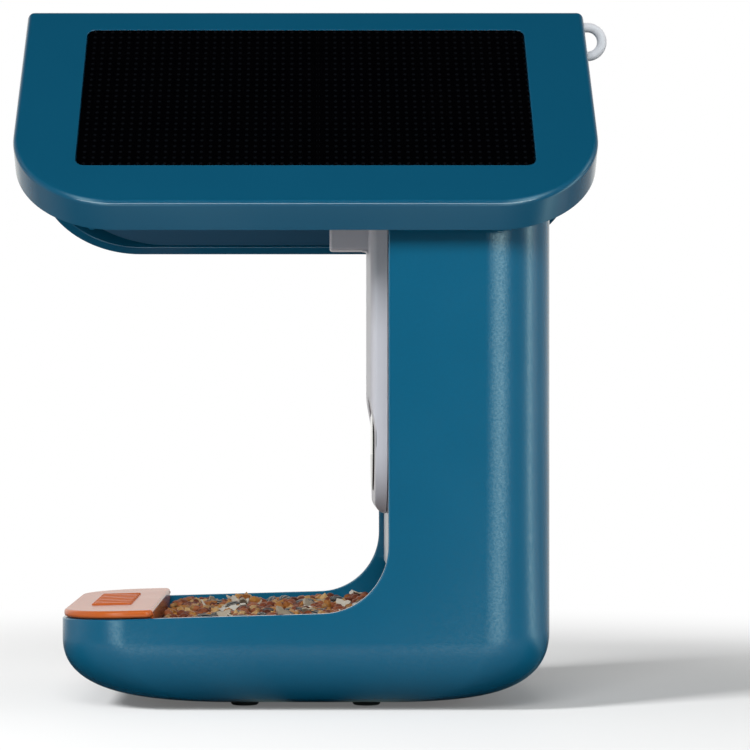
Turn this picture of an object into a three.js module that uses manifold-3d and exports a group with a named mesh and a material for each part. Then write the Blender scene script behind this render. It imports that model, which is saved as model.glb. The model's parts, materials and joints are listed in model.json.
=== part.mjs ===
// Smart bird feeder: a C-shaped housing with a seed tray in front and a hopper column behind,
// a gable roof with a solar panel on each slope, and a camera module docked in the column.
// Millimetres, +Z up. The bird comes to the -X side, the column stands at +X, and the
// feeder is mirrored about the plane Y = 0. Z = 0 is the surface that the feet stand on.
import * as THREE from "three";
import { mergeVertices } from "three/addons/utils/BufferGeometryUtils.js";
import Module from "manifold-3d";

const wasm = await Module();
wasm.setup();

// Clearances and cutting
const seatGap = 0.3; // between pieces that touch on the real feeder
const overrun = 2; // how far a cutter passes the face that it cuts
const weldDistance = 0.0001;
const quarterTurn = Math.PI / 2;

// Roof
const roofLength = 210;
const ridgeHeight = 259.5; // where the two top planes meet, before the ridge is rounded
const slopeLength = 112;
const slabThickness = 12.7;
const slopeAngle = Math.PI / 4;
const eaveCornerRadius = 38;
const slabEdgeRadius = 1.9; // along the top; the underside's edges are sharp
const ridgeRadius = 2.6;
const slabRimWidth = 3.8;
const slabTopWall = 3.4;
const ridgeSpineWidth = 9; // solid strip left along the ridge, measured down each underside
const coverThickness = 2.2;
const coverRecess = 0.6; // how far the cover lies inside the slab's rim
const coverCornerRadius = 46; // leaves a crescent open at each eave corner
const bossRadius = 3.6;
const bossInset = 18.5; // from the pocket's edges to a boss
const screwShankRadius = 1.2;
const screwShankLength = 6;
const roofRibThickness = 1.8;
const roofRibHeight = 3;
const roofRibCount = 3;

// Solar panels
const panelLength = 163;
const panelWidth = 78.5;
const panelTopOffset = 12.7; // from the ridge line down the slope
const panelCornerRadius = 3;
const panelThickness = 1.3;

// Hanging eye at the rear end of the ridge
const eyeMeanRadius = 5.45;
const eyeWireRadius = 1.82;
const eyeReach = 1.7; // from the roof's end face to the eye's centre
const eyeDrop = 12.1; // below the ridge line
const eyeLegLength = 8;
const eyeBossHalfWidth = 4.2;
const eyeBossWall = 1.8;
const eyeBossLength = 6.5; // from the roof's end face forward

// Housing: tray and column in one moulding
const trayFront = -88.5;
const columnRear = 88.8;
const housingHalfWidth = 62;
const housingBottom = 1.4;
const housingWall = 3;
const cornerRadius = 25;
const frontCurveLength = 49.3;
const frontCurveHeight = 24.6;
const rearCurveLength = 43;
const rearCurveHeight = 27;
const sideCurveLength = 30;
const bottomCurvePower = 2.4;
const columnFront = 29.4;
const rimHeight = 34.6; // at the reference point in the middle of the tray
const rimReference = -26;
const rimSlopeShare = 0.028;
const rimFilletRadius = 24;
const columnRoofGap = 0.8;
const panelRibDepth = 4;
const panelRibThickness = 2.4;
const drainSlotLength = 9;
const drainSlotWidth = 2.4;
const drainSlotCount = 4;
const drainSlotPitch = 14;
const drainSlotPlace = -37;

// Feet and the threaded insert
const footRadius = 5.15;
const footSpacingX = 44.6;
const footSpacingY = 62;
const footSeatDepth = 1.1;
const insertRadius = 4.6;
const insertBoreRadius = 2.9;
const insertLength = 9;
const insertBossRadius = 8;
const insertPlace = 0;

// Front panel of the hopper, the ramp in it and the seed
const frontPanelRecess = 2;
const frontPanelThickness = 2.6;
const seedOutletHeight = 12; // from the rim to the panel's lower edge
const rampThickness = 2.4;
const rampTop = 74;
const rampFoot = 44;
const seedBelowRim = 2.4;
const seedReposeShare = 0.72;
const seedHopperBack = 66;
const seedLumpHeight = 1.3; // of the uneven heap above and below its mean surface
const seedLumpPitch = 32; // two lumps lie in one pitch, as seen in any direction
const seedLumpTurnShares = [0.35, 0.85];
const seedGridStep = 8.4;

// Perch cap
const perchRear = -54.4;
const perchThickness = 2.7;
const perchEdgeInset = 0.6;
const perchEdgeRadius = 1.1;
const perchWall = 2.2;
const perchDepth = 24;
const gripRibCount = 7;
const gripRibPitch = 8.5;
const gripRibLength = 15;
const gripRibWidth = 2.6;
const gripRibHeight = 0.7;

// Camera module
const moduleFront = 23.7;
const moduleRear = 52;
const moduleHalfWidth = 35;
const moduleBottom = 69.3;
const moduleRoofGap = 1.2;
const moduleTopDrop = 10.5; // from the undersides' meeting line to the module's flat top
const moduleLowerRadius = 25;
const moduleEdgeRadius = 2.6;
const moduleWall = 2;
const modulePartingPlace = 30;
const lensStepDepth = 1.9; // the lower half of the face lies this far back
const lensStepTop = 114;
const lensStepHeight = 15;
const chinRadius = 5;
const headFront = 9.1;
const headDrop = 69.5; // from the ridge line to the head block's top
const headHeight = 21.8;
const headHalfWidth = 5.6;
const headEdgeRadius = 1.1;
const headFilletRadius = 1.6;
const dockWall = 2;
const dockDrop = 83.5; // from the ridge line to the dock's open top

// Lens group in the module
const lensHeight = 95;
const windowRadius = 17.5;
const windowThickness = 2.2;
const windowProud = 0.7;
const windowLedgeWidth = 2.6;
const windowLedgeThickness = 1.8;
const barrelRadius = 8.4;
const barrelLength = 11;
const barrelFlangeRadius = 11;
const barrelFlangeThickness = 1.6;
const lensRadius = 6;
const lensBulge = 1.6;
const lensThickness = 3.4;
const lensSeatDepth = 2.6;
const lensBoreRadius = 4.4;

// Electronics in the module
const boardThickness = 1.6;
const boardMargin = 4.5;
const boardPlace = 43.5;
const boardDrop = 75.5; // from the ridge line to the board's top
const chipThickness = 1.4;
const chipSizeShares = [0.34, 0.2, 0.16];
const chipHeightShares = [0.22, 0.5, 0.74];
const cellRadius = 6.6;
const cellGap = 1.4;
const cellRoomBelow = 6; // from the lens barrel's flange to the cells
const cellRoomAbove = 2; // from the cells' tips to the control board
const cellPlace = 36;
const cellTipRadius = 2.4;
const cellTipHeight = 1.2;

// Button, charging port and its flap, on the module's face to either side of the head block
const controlDrop = 77.5; // from the ridge line to the controls' middle line
const buttonRadius = 4;
const buttonSide = -18;
const buttonFlange = 1.1;
const buttonFlangeThickness = 1.2;
const buttonTravel = 0.8;
const buttonSink = 0.1; // the button's face lies this far inside the module's face
const switchSize = 5.6;
const switchHeight = 3.2;
const portSide = 18;
const portLength = 9;
const portWidth = 3.4;
const portDepth = 6.4;
const portShell = 0.5;
const flapLength = 14;
const flapWidth = 7.4;
const flapThickness = 1.2;
const flapPadHeight = 0.6;
const flapPadInset = 0.9;
const flapCornerRadius = 0.6;
const controlBoardThickness = 1.2;
const controlBoardHalfWidth = 27;
const controlBoardHalfHeight = 4.8;

// Roof hinge behind the column
const hingeOffset = 4.2; // from the column's rear face to the hinge axis
const hingeDrop = 65.5; // from the ridge line down to the hinge axis
const knuckleRadius = 3.6;
const hingePinRadius = 1.5;
const middleKnuckleHalf = 9;
const outerKnuckleWidth = 6;
const hingeWebThickness = 3;
const hingeWebPlace = 101.4; // its front face, under the slab's rear rim
const hingeWebHalfWidth = 34;
const hingePinHeadRadius = 2.4;
const hingePinHeadThickness = 1;
const hingeWebOverlap = 1;

// Roundness of the curves
const arcSteps = 5;
const ringSteps = 8;
const curveRings = 8;
const smallRoundSteps = 20;
const eyeSteps = 20;
const bevelSteps = 2;
const smallArcSteps = 2;

// Frames that turn a drawing into the plane it belongs to
const sideFrame = new THREE.Matrix4().makeBasis(
  new THREE.Vector3(1, 0, 0), new THREE.Vector3(0, 0, 1), new THREE.Vector3(0, -1, 0));
const frontFrame = new THREE.Matrix4().makeBasis(
  new THREE.Vector3(0, 1, 0), new THREE.Vector3(0, 0, 1), new THREE.Vector3(1, 0, 0));
const slopeCosine = Math.cos(slopeAngle);
const slopeSine = Math.sin(slopeAngle);
const slopeFrame = new THREE.Matrix4().makeBasis(
  new THREE.Vector3(1, 0, 0),
  new THREE.Vector3(0, slopeCosine, -slopeSine),
  new THREE.Vector3(0, slopeSine, slopeCosine));
slopeFrame.setPosition(0, 0, ridgeHeight);

// A closed mesh of three.js as a solid that can be cut and joined
function toSolid(geometry) {
  const bare = geometry.clone();
  for (const name of Object.keys(bare.attributes)) {
    if (name !== "position") bare.deleteAttribute(name);
  }
  const welded = mergeVertices(bare, weldDistance);
  const triVerts = new Uint32Array(welded.index.array);
  const vertProperties = new Float32Array(welded.attributes.position.array);
  return new wasm.Manifold(new wasm.Mesh({ numProp: 3, vertProperties, triVerts }));
}

function toGeometry(solid) {
  const mesh = solid.getMesh();
  const geometry = new THREE.BufferGeometry();
  geometry.setAttribute("position", new THREE.BufferAttribute(mesh.vertProperties, 3));
  geometry.setIndex(new THREE.BufferAttribute(mesh.triVerts, 1));
  geometry.computeVertexNormals();
  return geometry;
}

function prism(shape, depth, edge = 0, steps = arcSteps) {
  const bevelled = edge > 0;
  return new THREE.ExtrudeGeometry(shape, {
    depth: depth - 2 * edge,
    curveSegments: steps,
    bevelEnabled: bevelled,
    bevelThickness: edge,
    bevelSize: edge,
    bevelOffset: -edge,
    bevelSegments: bevelSteps,
  }).translate(0, 0, edge);
}

// A drawing in X and Z made as deep as the given Y range
function sidePrism(shape, yLow, yHigh, edge = 0) {
  return toSolid(prism(shape, yHigh - yLow, edge).applyMatrix4(sideFrame).translate(0, yHigh, 0));
}

// A drawing in Y and Z made as deep as the given X range
function frontPrism(shape, xLow, xHigh, edge = 0) {
  return toSolid(prism(shape, xHigh - xLow, edge).applyMatrix4(frontFrame).translate(xLow, 0, 0));
}

// A drawing in X and Y made as tall as the given Z range
function planPrism(shape, zLow, zHigh, edge = 0, steps = arcSteps) {
  return toSolid(prism(shape, zHigh - zLow, edge, steps).translate(0, 0, zLow));
}

// A drawing in X and down the +Y slope, between two heights above the slope's top plane
function slopePrism(shape, low, high, edge = 0, steps = arcSteps) {
  return toSolid(prism(shape, high - low, edge, steps).translate(0, 0, low).applyMatrix4(slopeFrame));
}

function box(xLow, xHigh, yLow, yHigh, zLow, zHigh) {
  const geometry = new THREE.BoxGeometry(xHigh - xLow, yHigh - yLow, zHigh - zLow);
  return toSolid(geometry.translate((xLow + xHigh) / 2, (yLow + yHigh) / 2, (zLow + zHigh) / 2));
}

function polygon(points) {
  return new THREE.Shape(points.map(([x, y]) => new THREE.Vector2(x, y)));
}

// A rectangle whose low corners and high corners have their own radii
function roundedOutline(xLow, xHigh, yLow, yHigh, lowRadius, highRadius = lowRadius) {
  const shape = new THREE.Shape();
  shape.moveTo(xLow + lowRadius, yLow);
  shape.lineTo(xHigh - lowRadius, yLow);
  if (lowRadius > 0) shape.absarc(xHigh - lowRadius, yLow + lowRadius, lowRadius, -quarterTurn, 0);
  shape.lineTo(xHigh, yHigh - highRadius);
  if (highRadius > 0) shape.absarc(xHigh - highRadius, yHigh - highRadius, highRadius, 0, quarterTurn);
  shape.lineTo(xLow + highRadius, yHigh);
  if (highRadius > 0) {
    shape.absarc(xLow + highRadius, yHigh - highRadius, highRadius, quarterTurn, 2 * quarterTurn);
  }
  shape.lineTo(xLow, yLow + lowRadius);
  if (lowRadius > 0) {
    shape.absarc(xLow + lowRadius, yLow + lowRadius, lowRadius, 2 * quarterTurn, 3 * quarterTurn);
  }
  return shape;
}

// Round pieces: a cylinder along each axis, from its low end to its high end
function cylinderZ(x, y, zLow, zHigh, radius, steps = smallRoundSteps) {
  const geometry = new THREE.CylinderGeometry(radius, radius, zHigh - zLow, steps);
  return toSolid(geometry.rotateX(quarterTurn).translate(x, y, (zLow + zHigh) / 2));
}

function cylinderY(x, z, yLow, yHigh, radius, steps = smallRoundSteps) {
  const geometry = new THREE.CylinderGeometry(radius, radius, yHigh - yLow, steps);
  return toSolid(geometry.translate(x, (yLow + yHigh) / 2, z));
}

function cylinderX(y, z, xLow, xHigh, radius, steps = smallRoundSteps) {
  const geometry = new THREE.CylinderGeometry(radius, radius, xHigh - xLow, steps);
  return toSolid(geometry.rotateZ(quarterTurn).translate((xLow + xHigh) / 2, y, z));
}

// A piece turned on a lathe about its own axis, which then points along X
function turnedX(profile, x, y, z) {
  const points = profile.map(([radius, along]) => new THREE.Vector2(radius, along));
  const geometry = new THREE.LatheGeometry(points, smallRoundSteps);
  return toSolid(geometry.rotateZ(-quarterTurn).translate(x, y, z));
}

// The same piece on the other side of the feeder
function acrossFeeder(geometry) {
  return geometry.clone().rotateZ(2 * quarterTurn);
}

const pieces = [];

function addPiece(name, geometry, color, roughness, metalness = 0) {
  const material = new THREE.MeshStandardMaterial({ color, roughness, metalness });
  const mesh = new THREE.Mesh(geometry, material);
  mesh.name = name;
  pieces.push(mesh);
}

// Colours of the mouldings
const roofBlue = 0x12536f;
const housingBlue = 0x14607f;
const perchOrange = 0xd6611b;
const moduleGrey = 0xc6c6cc;
const softBlack = 0x101214;
const steelGrey = 0xb4b6b8;

// Heights and outlines that several pieces share
const undersideApex = ridgeHeight - slabThickness / slopeCosine;

function rimAt(x) {
  return rimHeight + (x - rimReference) * rimSlopeShare;
}

// Heights in the column, counted down from the ridge so that the roof clears what they place
const headTop = ridgeHeight - headDrop;
const headBottom = headTop - headHeight;
const dockTop = ridgeHeight - dockDrop;
const boardTop = ridgeHeight - boardDrop;
const controlHeight = ridgeHeight - controlDrop;

// Height of the plane that runs down both undersides, a distance below them
function undersideAt(y, gap) {
  return undersideApex - gap - Math.abs(y) * Math.tan(slopeAngle);
}

// Front-view outline under the roof: a block of the given half width with a gable on top
function gableOutline(halfWidth, bottom, gap) {
  return polygon([
    [-halfWidth, bottom],
    [halfWidth, bottom],
    [halfWidth, undersideAt(halfWidth, gap)],
    [0, undersideAt(0, gap)],
    [-halfWidth, undersideAt(halfWidth, gap)],
  ]);
}

// How far the bottom curve draws a wall in at a height above the curve's lowest point
function curveInset(length, height, above) {
  const drop = Math.max(0, 1 - above / height);
  return length * (1 - Math.pow(1 - Math.pow(drop, bottomCurvePower), 1 / bottomCurvePower));
}

// One plan section of the housing's form, drawn in by inset all round
function housingSection(inset, z) {
  const above = z - housingBottom - inset;
  const front = trayFront + inset
    + curveInset(frontCurveLength - inset, frontCurveHeight - inset, above);
  const rear = columnRear - inset
    - curveInset(rearCurveLength - inset, rearCurveHeight - inset, above);
  const half = housingHalfWidth - inset
    - curveInset(sideCurveLength - inset, frontCurveHeight - inset, above);
  const radius = cornerRadius - inset;
  const corners = [
    [rear - radius, half - radius],
    [front + radius, half - radius],
    [front + radius, radius - half],
    [rear - radius, radius - half],
  ];
  const ring = [];
  corners.forEach(([x, y], quarter) => {
    for (let step = 0; step <= ringSteps; step += 1) {
      const angle = (quarter + step / ringSteps) * quarterTurn;
      ring.push(new THREE.Vector3(x + radius * Math.cos(angle), y + radius * Math.sin(angle), z));
    }
  });
  return ring;
}

// A closed skin through sections that have the same number of points, from the bottom up
function loft(rings) {
  const count = rings[0].length;
  const points = rings.flat();
  const faces = [];
  for (let level = 0; level < rings.length - 1; level += 1) {
    for (let place = 0; place < count; place += 1) {
      const next = (place + 1) % count;
      const low = level * count;
      const high = low + count;
      faces.push(low + place, low + next, high + next);
      faces.push(low + place, high + next, high + place);
    }
  }
  const lastRing = (rings.length - 1) * count;
  for (let place = 1; place < count - 1; place += 1) {
    faces.push(0, place + 1, place);
    faces.push(lastRing, lastRing + place, lastRing + place + 1);
  }
  const geometry = new THREE.BufferGeometry().setFromPoints(points);
  geometry.setIndex(faces);
  return toSolid(geometry);
}

// The housing's whole form up to the roof, drawn in by inset all round
function housingForm(inset, top = ridgeHeight) {
  const levels = [];
  for (let step = 0; step <= curveRings; step += 1) {
    const angle = (step / curveRings) * quarterTurn;
    const rise = (rearCurveHeight - inset) * (1 - Math.cos(angle));
    levels.push(housingBottom + inset + rise);
  }
  levels.push(top);
  return loft(levels.map((z) => housingSection(inset, z)));
}

// Side-view outline of the open space in front of the column, above the tray's rim
function openFrontOutline() {
  const far = trayFront - cornerRadius;
  const slope = Math.atan(rimSlopeShare);
  const centreX = columnFront - rimFilletRadius;
  const centreZ = rimAt(centreX) + rimFilletRadius / Math.cos(slope);
  const outline = new THREE.Shape();
  const filletStart = centreX + rimFilletRadius * Math.sin(slope);
  outline.moveTo(far, rimAt(far));
  outline.lineTo(filletStart, rimAt(filletStart));
  outline.absarc(centreX, centreZ, rimFilletRadius, slope - quarterTurn, 0);
  outline.lineTo(columnFront, ridgeHeight + overrun);
  outline.lineTo(far, ridgeHeight + overrun);
  return outline;
}

const frontPanelFront = columnFront + frontPanelRecess;
const frontPanelRear = frontPanelFront + frontPanelThickness;
const frontPanelBottom = rimAt(frontPanelFront) + seedOutletHeight;
const hingeAxisX = columnRear + hingeOffset;
const hingeHeight = ridgeHeight - hingeDrop;
const outerKnuckleHigh = middleKnuckleHalf + seatGap + outerKnuckleWidth;

function outsideKnuckle(side) {
  const low = side > 0 ? middleKnuckleHalf + seatGap : -outerKnuckleHigh;
  const high = side > 0 ? outerKnuckleHigh : -middleKnuckleHalf - seatGap;
  const barrel = cylinderY(hingeAxisX, hingeHeight, low, high, knuckleRadius);
  const root = columnRear - housingWall / 2;
  return barrel.add(box(root, hingeAxisX, low, high, hingeHeight - knuckleRadius, hingeHeight));
}

function makeHousing() {
  const reach = housingHalfWidth + overrun;
  const openFront = sidePrism(openFrontOutline(), -reach, reach);
  const underRoof = frontPrism(
    gableOutline(reach, -overrun, columnRoofGap), trayFront - overrun, columnRear + overrun);
  let housing = housingForm(0).intersect(underRoof);
  housing = housing.subtract(housingForm(housingWall, ridgeHeight + overrun));
  // Bosses and ribs grow from the inside of the shell
  const bossTop = housingBottom + insertLength + housingWall;
  housing = housing.add(cylinderZ(insertPlace, 0, housingBottom, bossTop, insertBossRadius));
  const ribFront = frontPanelRear + seatGap;
  for (const side of [-1, 1]) {
    const outer = side * (housingHalfWidth - housingWall / 2);
    const inner = side * (housingHalfWidth - housingWall - panelRibDepth);
    const rib = box(ribFront, ribFront + panelRibThickness,
      Math.min(outer, inner), Math.max(outer, inner),
      frontPanelBottom, undersideAt(housingHalfWidth, columnRoofGap) - overrun);
    housing = housing.add(rib).add(outsideKnuckle(side));
  }
  housing = housing.subtract(openFront);
  housing = housing.subtract(
    cylinderY(hingeAxisX, hingeHeight, -outerKnuckleHigh - overrun, outerKnuckleHigh + overrun,
      hingePinRadius + seatGap));
  housing = housing.subtract(
    cylinderZ(insertPlace, 0, housingBottom - overrun, housingBottom + insertLength + seatGap,
      insertRadius + seatGap));
  for (const [x, y] of footPlaces()) {
    housing = housing.subtract(
      cylinderZ(x, y, housingBottom - overrun, housingBottom + footSeatDepth, footRadius + seatGap));
  }
  for (let slot = 0; slot < drainSlotCount; slot += 1) {
    const y = (slot - (drainSlotCount - 1) / 2) * drainSlotPitch;
    const outline = roundedOutline(
      drainSlotPlace - drainSlotLength / 2, drainSlotPlace + drainSlotLength / 2,
      y - drainSlotWidth / 2, y + drainSlotWidth / 2, drainSlotWidth / 2);
    const inside = housingBottom + housingWall + overrun;
    housing = housing.subtract(
      planPrism(outline, housingBottom - overrun, inside, 0, smallArcSteps));
  }
  return housing;
}

function footPlaces() {
  const places = [];
  for (const x of [-footSpacingX / 2, footSpacingX / 2]) {
    for (const y of [-footSpacingY / 2, footSpacingY / 2]) places.push([x, y]);
  }
  return places;
}

addPiece("body_housing", toGeometry(makeHousing()), housingBlue, 0.42);

footPlaces().forEach(([x, y]) => {
  const name = `foot_${x < 0 ? "front" : "rear"}_${y < 0 ? "right" : "left"}`;
  const top = housingBottom + footSeatDepth - seatGap;
  addPiece(name, toGeometry(cylinderZ(x, y, 0, top, footRadius)), 0x17191b, 0.8);
});

function makeInsert() {
  const top = housingBottom + insertLength;
  return cylinderZ(insertPlace, 0, housingBottom, top, insertRadius)
    .subtract(cylinderZ(insertPlace, 0, housingBottom - overrun, top + overrun, insertBoreRadius));
}

addPiece("bracket_insert", toGeometry(makeInsert()), 0xb08d4c, 0.35, 1);

// The camera module's front-view outline: round lower corners, and under the roof a gable
// with a flat top
function moduleOutline(grow) {
  const half = moduleHalfWidth + grow;
  const bottom = moduleBottom - grow;
  const radius = moduleLowerRadius + grow;
  const gap = moduleRoofGap - grow;
  const top = undersideApex - moduleTopDrop + grow;
  const topHalf = (undersideApex - gap - top) / Math.tan(slopeAngle);
  const shape = new THREE.Shape();
  shape.moveTo(radius - half, bottom);
  shape.lineTo(half - radius, bottom);
  shape.absarc(half - radius, bottom + radius, radius, -quarterTurn, 0);
  shape.lineTo(half, undersideAt(half, gap));
  shape.lineTo(topHalf, top);
  shape.lineTo(-topHalf, top);
  shape.lineTo(-half, undersideAt(half, gap));
  shape.lineTo(-half, bottom + radius);
  shape.absarc(radius - half, bottom + radius, radius, 2 * quarterTurn, 3 * quarterTurn);
  return shape;
}

// The hopper's clear front panel, notched for the camera module
function makeFrontPanel() {
  const half = housingHalfWidth - housingWall - seatGap;
  const plate = frontPrism(
    gableOutline(half, frontPanelBottom, columnRoofGap), frontPanelFront, frontPanelRear);
  const notch = frontPrism(moduleOutline(seatGap), frontPanelFront - overrun, frontPanelRear + overrun);
  const above = box(frontPanelFront - overrun, frontPanelRear + overrun,
    -moduleHalfWidth - seatGap, moduleHalfWidth + seatGap, headTop, ridgeHeight);
  return plate.subtract(notch).subtract(above);
}

addPiece("front_panel", toGeometry(makeFrontPanel()), 0xdfe2e4, 0.12);

// Tub behind the panel that the camera module slides into
const dockFront = frontPanelRear + seatGap;
const dockRear = moduleRear + seatGap + dockWall;

function makeDock() {
  const outside = frontPrism(moduleOutline(seatGap + dockWall), dockFront, dockRear);
  const reach = moduleHalfWidth + dockWall + overrun;
  return outside
    .subtract(frontPrism(moduleOutline(seatGap), dockFront - overrun, moduleRear + seatGap))
    .subtract(box(dockFront - overrun, dockRear + overrun, -reach, reach, dockTop, ridgeHeight));
}

addPiece("camera_dock", toGeometry(makeDock()), 0xb9bbc0, 0.5);

// Ramp that brings the seed in the hopper forward to the tray
const rampBack = columnRear - housingWall - seatGap;
const floorHeight = housingBottom + housingWall;

function rampOutline(lift) {
  return polygon([
    [rampFoot, floorHeight + lift],
    [rampBack + overrun, rampTop + lift],
    [rampBack + overrun, rampTop + lift + rampThickness],
    [rampFoot - rampThickness, floorHeight + lift + rampThickness / 2],
    [rampFoot - rampThickness, floorHeight + lift],
  ]);
}

const insideForm = housingForm(housingWall + seatGap, ridgeHeight);

function makeRamp() {
  return sidePrism(rampOutline(seatGap), -housingHalfWidth, housingHalfWidth).intersect(insideForm);
}

addPiece("seed_ramp", toGeometry(makeRamp()), 0x2b3b45, 0.5);

// Seed in the tray and the hopper, as one uneven heap without its single grains
const perchBackWall = perchRear + seatGap;

// Mean surface: level with the rim in the tray, rising at the seed's resting slope in the hopper
function seedSurfaceAt(x) {
  const rise = Math.max(0, Math.min(x, seedHopperBack) - rampFoot) * seedReposeShare;
  return rimAt(Math.min(x, rampFoot)) - seedBelowRim + rise;
}

function seedLumpAt(x, y) {
  const turn = (4 * quarterTurn) / seedLumpPitch;
  const [along, across] = seedLumpTurnShares;
  return seedLumpHeight * Math.sin(turn * (x + along * y)) * Math.cos(turn * (across * y - along * x));
}

// Places of the heap's grid lines from the perch to the ramp, with one at each bend of its surface
function seedColumns() {
  const bends = [perchBackWall, rampFoot, seedHopperBack, rampBack];
  const columns = [perchBackWall];
  for (let span = 1; span < bends.length; span += 1) {
    const length = bends[span] - bends[span - 1];
    const steps = Math.round(length / seedGridStep);
    for (let step = 1; step <= steps; step += 1) {
      columns.push(bends[span - 1] + (length * step) / steps);
    }
  }
  return columns;
}

function makeSeedHeap() {
  const columns = seedColumns();
  const cells = columns.length - 1;
  const rows = Math.round((2 * housingHalfWidth) / seedGridStep);
  const heap = new THREE.BoxGeometry(cells, rows, 1, cells, rows, 1).translate(cells / 2, 0, 0);
  const place = heap.attributes.position;
  for (let point = 0; point < place.count; point += 1) {
    const x = columns[Math.round(place.getX(point))];
    const y = (place.getY(point) / rows) * 2 * housingHalfWidth;
    const onTop = place.getZ(point) > 0;
    place.setXYZ(point, x, y, onTop ? seedSurfaceAt(x) + seedLumpAt(x, y) : -overrun);
  }
  return toSolid(heap);
}

function makeSeedBed() {
  const underRamp = polygon([
    [rampFoot - rampThickness - seatGap, -overrun],
    [rampFoot - rampThickness - seatGap, floorHeight + rampThickness / 2 + 2 * seatGap],
    [rampBack + overrun, rampTop + rampThickness + 3 * seatGap],
    [rampBack + overrun, -overrun],
  ]);
  const boss = cylinderZ(insertPlace, 0, -overrun, floorHeight + insertLength + seatGap,
    insertBossRadius + seatGap);
  return makeSeedHeap()
    .intersect(insideForm)
    .subtract(sidePrism(underRamp, -housingHalfWidth - overrun, housingHalfWidth + overrun))
    .subtract(boss);
}

addPiece("seed_bed", toGeometry(makeSeedBed()), 0x9a6a3c, 0.85);

// Perch cap: a plate over the front of the rim, on a box that drops into the tray
function perchPlan(inset) {
  const shape = new THREE.Shape();
  const front = trayFront + inset;
  const half = housingHalfWidth - inset;
  const radius = cornerRadius - inset;
  shape.moveTo(perchRear - edgeShift(inset), -half);
  shape.lineTo(perchRear - edgeShift(inset), half);
  shape.lineTo(front + radius, half);
  shape.absarc(front + radius, half - radius, radius, quarterTurn, 2 * quarterTurn);
  shape.absarc(front + radius, radius - half, radius, 2 * quarterTurn, 3 * quarterTurn);
  return shape;
}

function edgeShift(inset) {
  return inset > housingWall ? inset - housingWall - seatGap : 0;
}

// Rim plane shifted up by a lift: everything above it, over the perch
function aboveRim(lift) {
  const far = trayFront - cornerRadius;
  return sidePrism(polygon([
    [far, rimAt(far) + lift],
    [perchRear + cornerRadius, rimAt(perchRear + cornerRadius) + lift],
    [perchRear + cornerRadius, rimHeight + perchDepth],
    [far, rimHeight + perchDepth],
  ]), -housingHalfWidth - overrun, housingHalfWidth + overrun);
}

function perchInsert(inset) {
  const low = rimAt(perchRear) - perchDepth;
  return planPrism(perchPlan(inset), low - (inset > housingWall + seatGap ? overrun : 0), rimHeight)
    .intersect(housingForm(inset, ridgeHeight));
}

function makePerchCap() {
  const middle = (trayFront + perchRear) / 2;
  const top = rimAt(middle) + seatGap + perchThickness;
  const tilt = Math.atan(rimSlopeShare);
  const flatPlate = prism(perchPlan(perchEdgeInset), perchThickness, perchEdgeRadius)
    .translate(-middle, 0, -perchThickness)
    .rotateY(-tilt)
    .translate(middle, 0, top);
  let cap = toSolid(flatPlate);
  const plug = perchInsert(housingWall + seatGap).subtract(aboveRim(seatGap + perchThickness / 2));
  const hollow = perchInsert(housingWall + seatGap + perchWall).subtract(aboveRim(0));
  cap = cap.add(plug).subtract(hollow);
  for (let rib = 0; rib < gripRibCount; rib += 1) {
    const y = (rib - (gripRibCount - 1) / 2) * gripRibPitch;
    const outline = roundedOutline(-gripRibLength / 2, gripRibLength / 2,
      y - gripRibWidth / 2, y + gripRibWidth / 2, gripRibWidth / 2);
    const bar = prism(outline, gripRibHeight + perchThickness / 2, 0, smallArcSteps)
      .translate(0, 0, -perchThickness / 2)
      .rotateY(-tilt)
      .translate(middle, 0, top);
    cap = cap.add(toSolid(bar));
  }
  return cap;
}

addPiece("perch_cap", toGeometry(makePerchCap()), perchOrange, 0.3);

// Camera module: front shell with the stepped face and the head block
const lowerFace = moduleFront + lensStepDepth;
const faceCavityFront = lowerFace + moduleWall;
const windowFront = lowerFace - windowProud;
const windowRear = windowFront + windowThickness;
const ledgeRear = windowRear + seatGap + windowLedgeThickness;

function faceSideOutline() {
  const outline = new THREE.Shape();
  outline.moveTo(moduleRear, moduleBottom - overrun);
  outline.lineTo(lowerFace + chinRadius, moduleBottom - overrun);
  outline.lineTo(lowerFace + chinRadius, moduleBottom);
  outline.absarc(lowerFace + chinRadius, moduleBottom + chinRadius, chinRadius,
    3 * quarterTurn, 2 * quarterTurn, true);
  outline.lineTo(lowerFace, lensStepTop - lensStepHeight);
  outline.bezierCurveTo(lowerFace, lensStepTop - lensStepHeight / 2,
    moduleFront, lensStepTop - lensStepHeight / 2, moduleFront, lensStepTop);
  outline.lineTo(moduleFront - overrun, lensStepTop + overrun);
  outline.lineTo(moduleFront - overrun, ridgeHeight);
  outline.lineTo(moduleRear, ridgeHeight);
  return outline;
}

function headFillet() {
  const shape = new THREE.Shape();
  shape.moveTo(moduleFront + headEdgeRadius, headBottom + headEdgeRadius);
  shape.lineTo(moduleFront - headFilletRadius, headBottom + headEdgeRadius);
  shape.lineTo(moduleFront - headFilletRadius, headBottom);
  shape.absarc(moduleFront - headFilletRadius, headBottom - headFilletRadius,
    headFilletRadius, quarterTurn, 0, true);
  shape.lineTo(moduleFront + headEdgeRadius, headBottom - headFilletRadius);
  const half = headHalfWidth - headEdgeRadius;
  return sidePrism(shape, -half, half);
}

const reachAcross = housingHalfWidth + overrun;
const controlFace = moduleFront + buttonSink;
const flapBack = controlFace + flapThickness;

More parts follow.
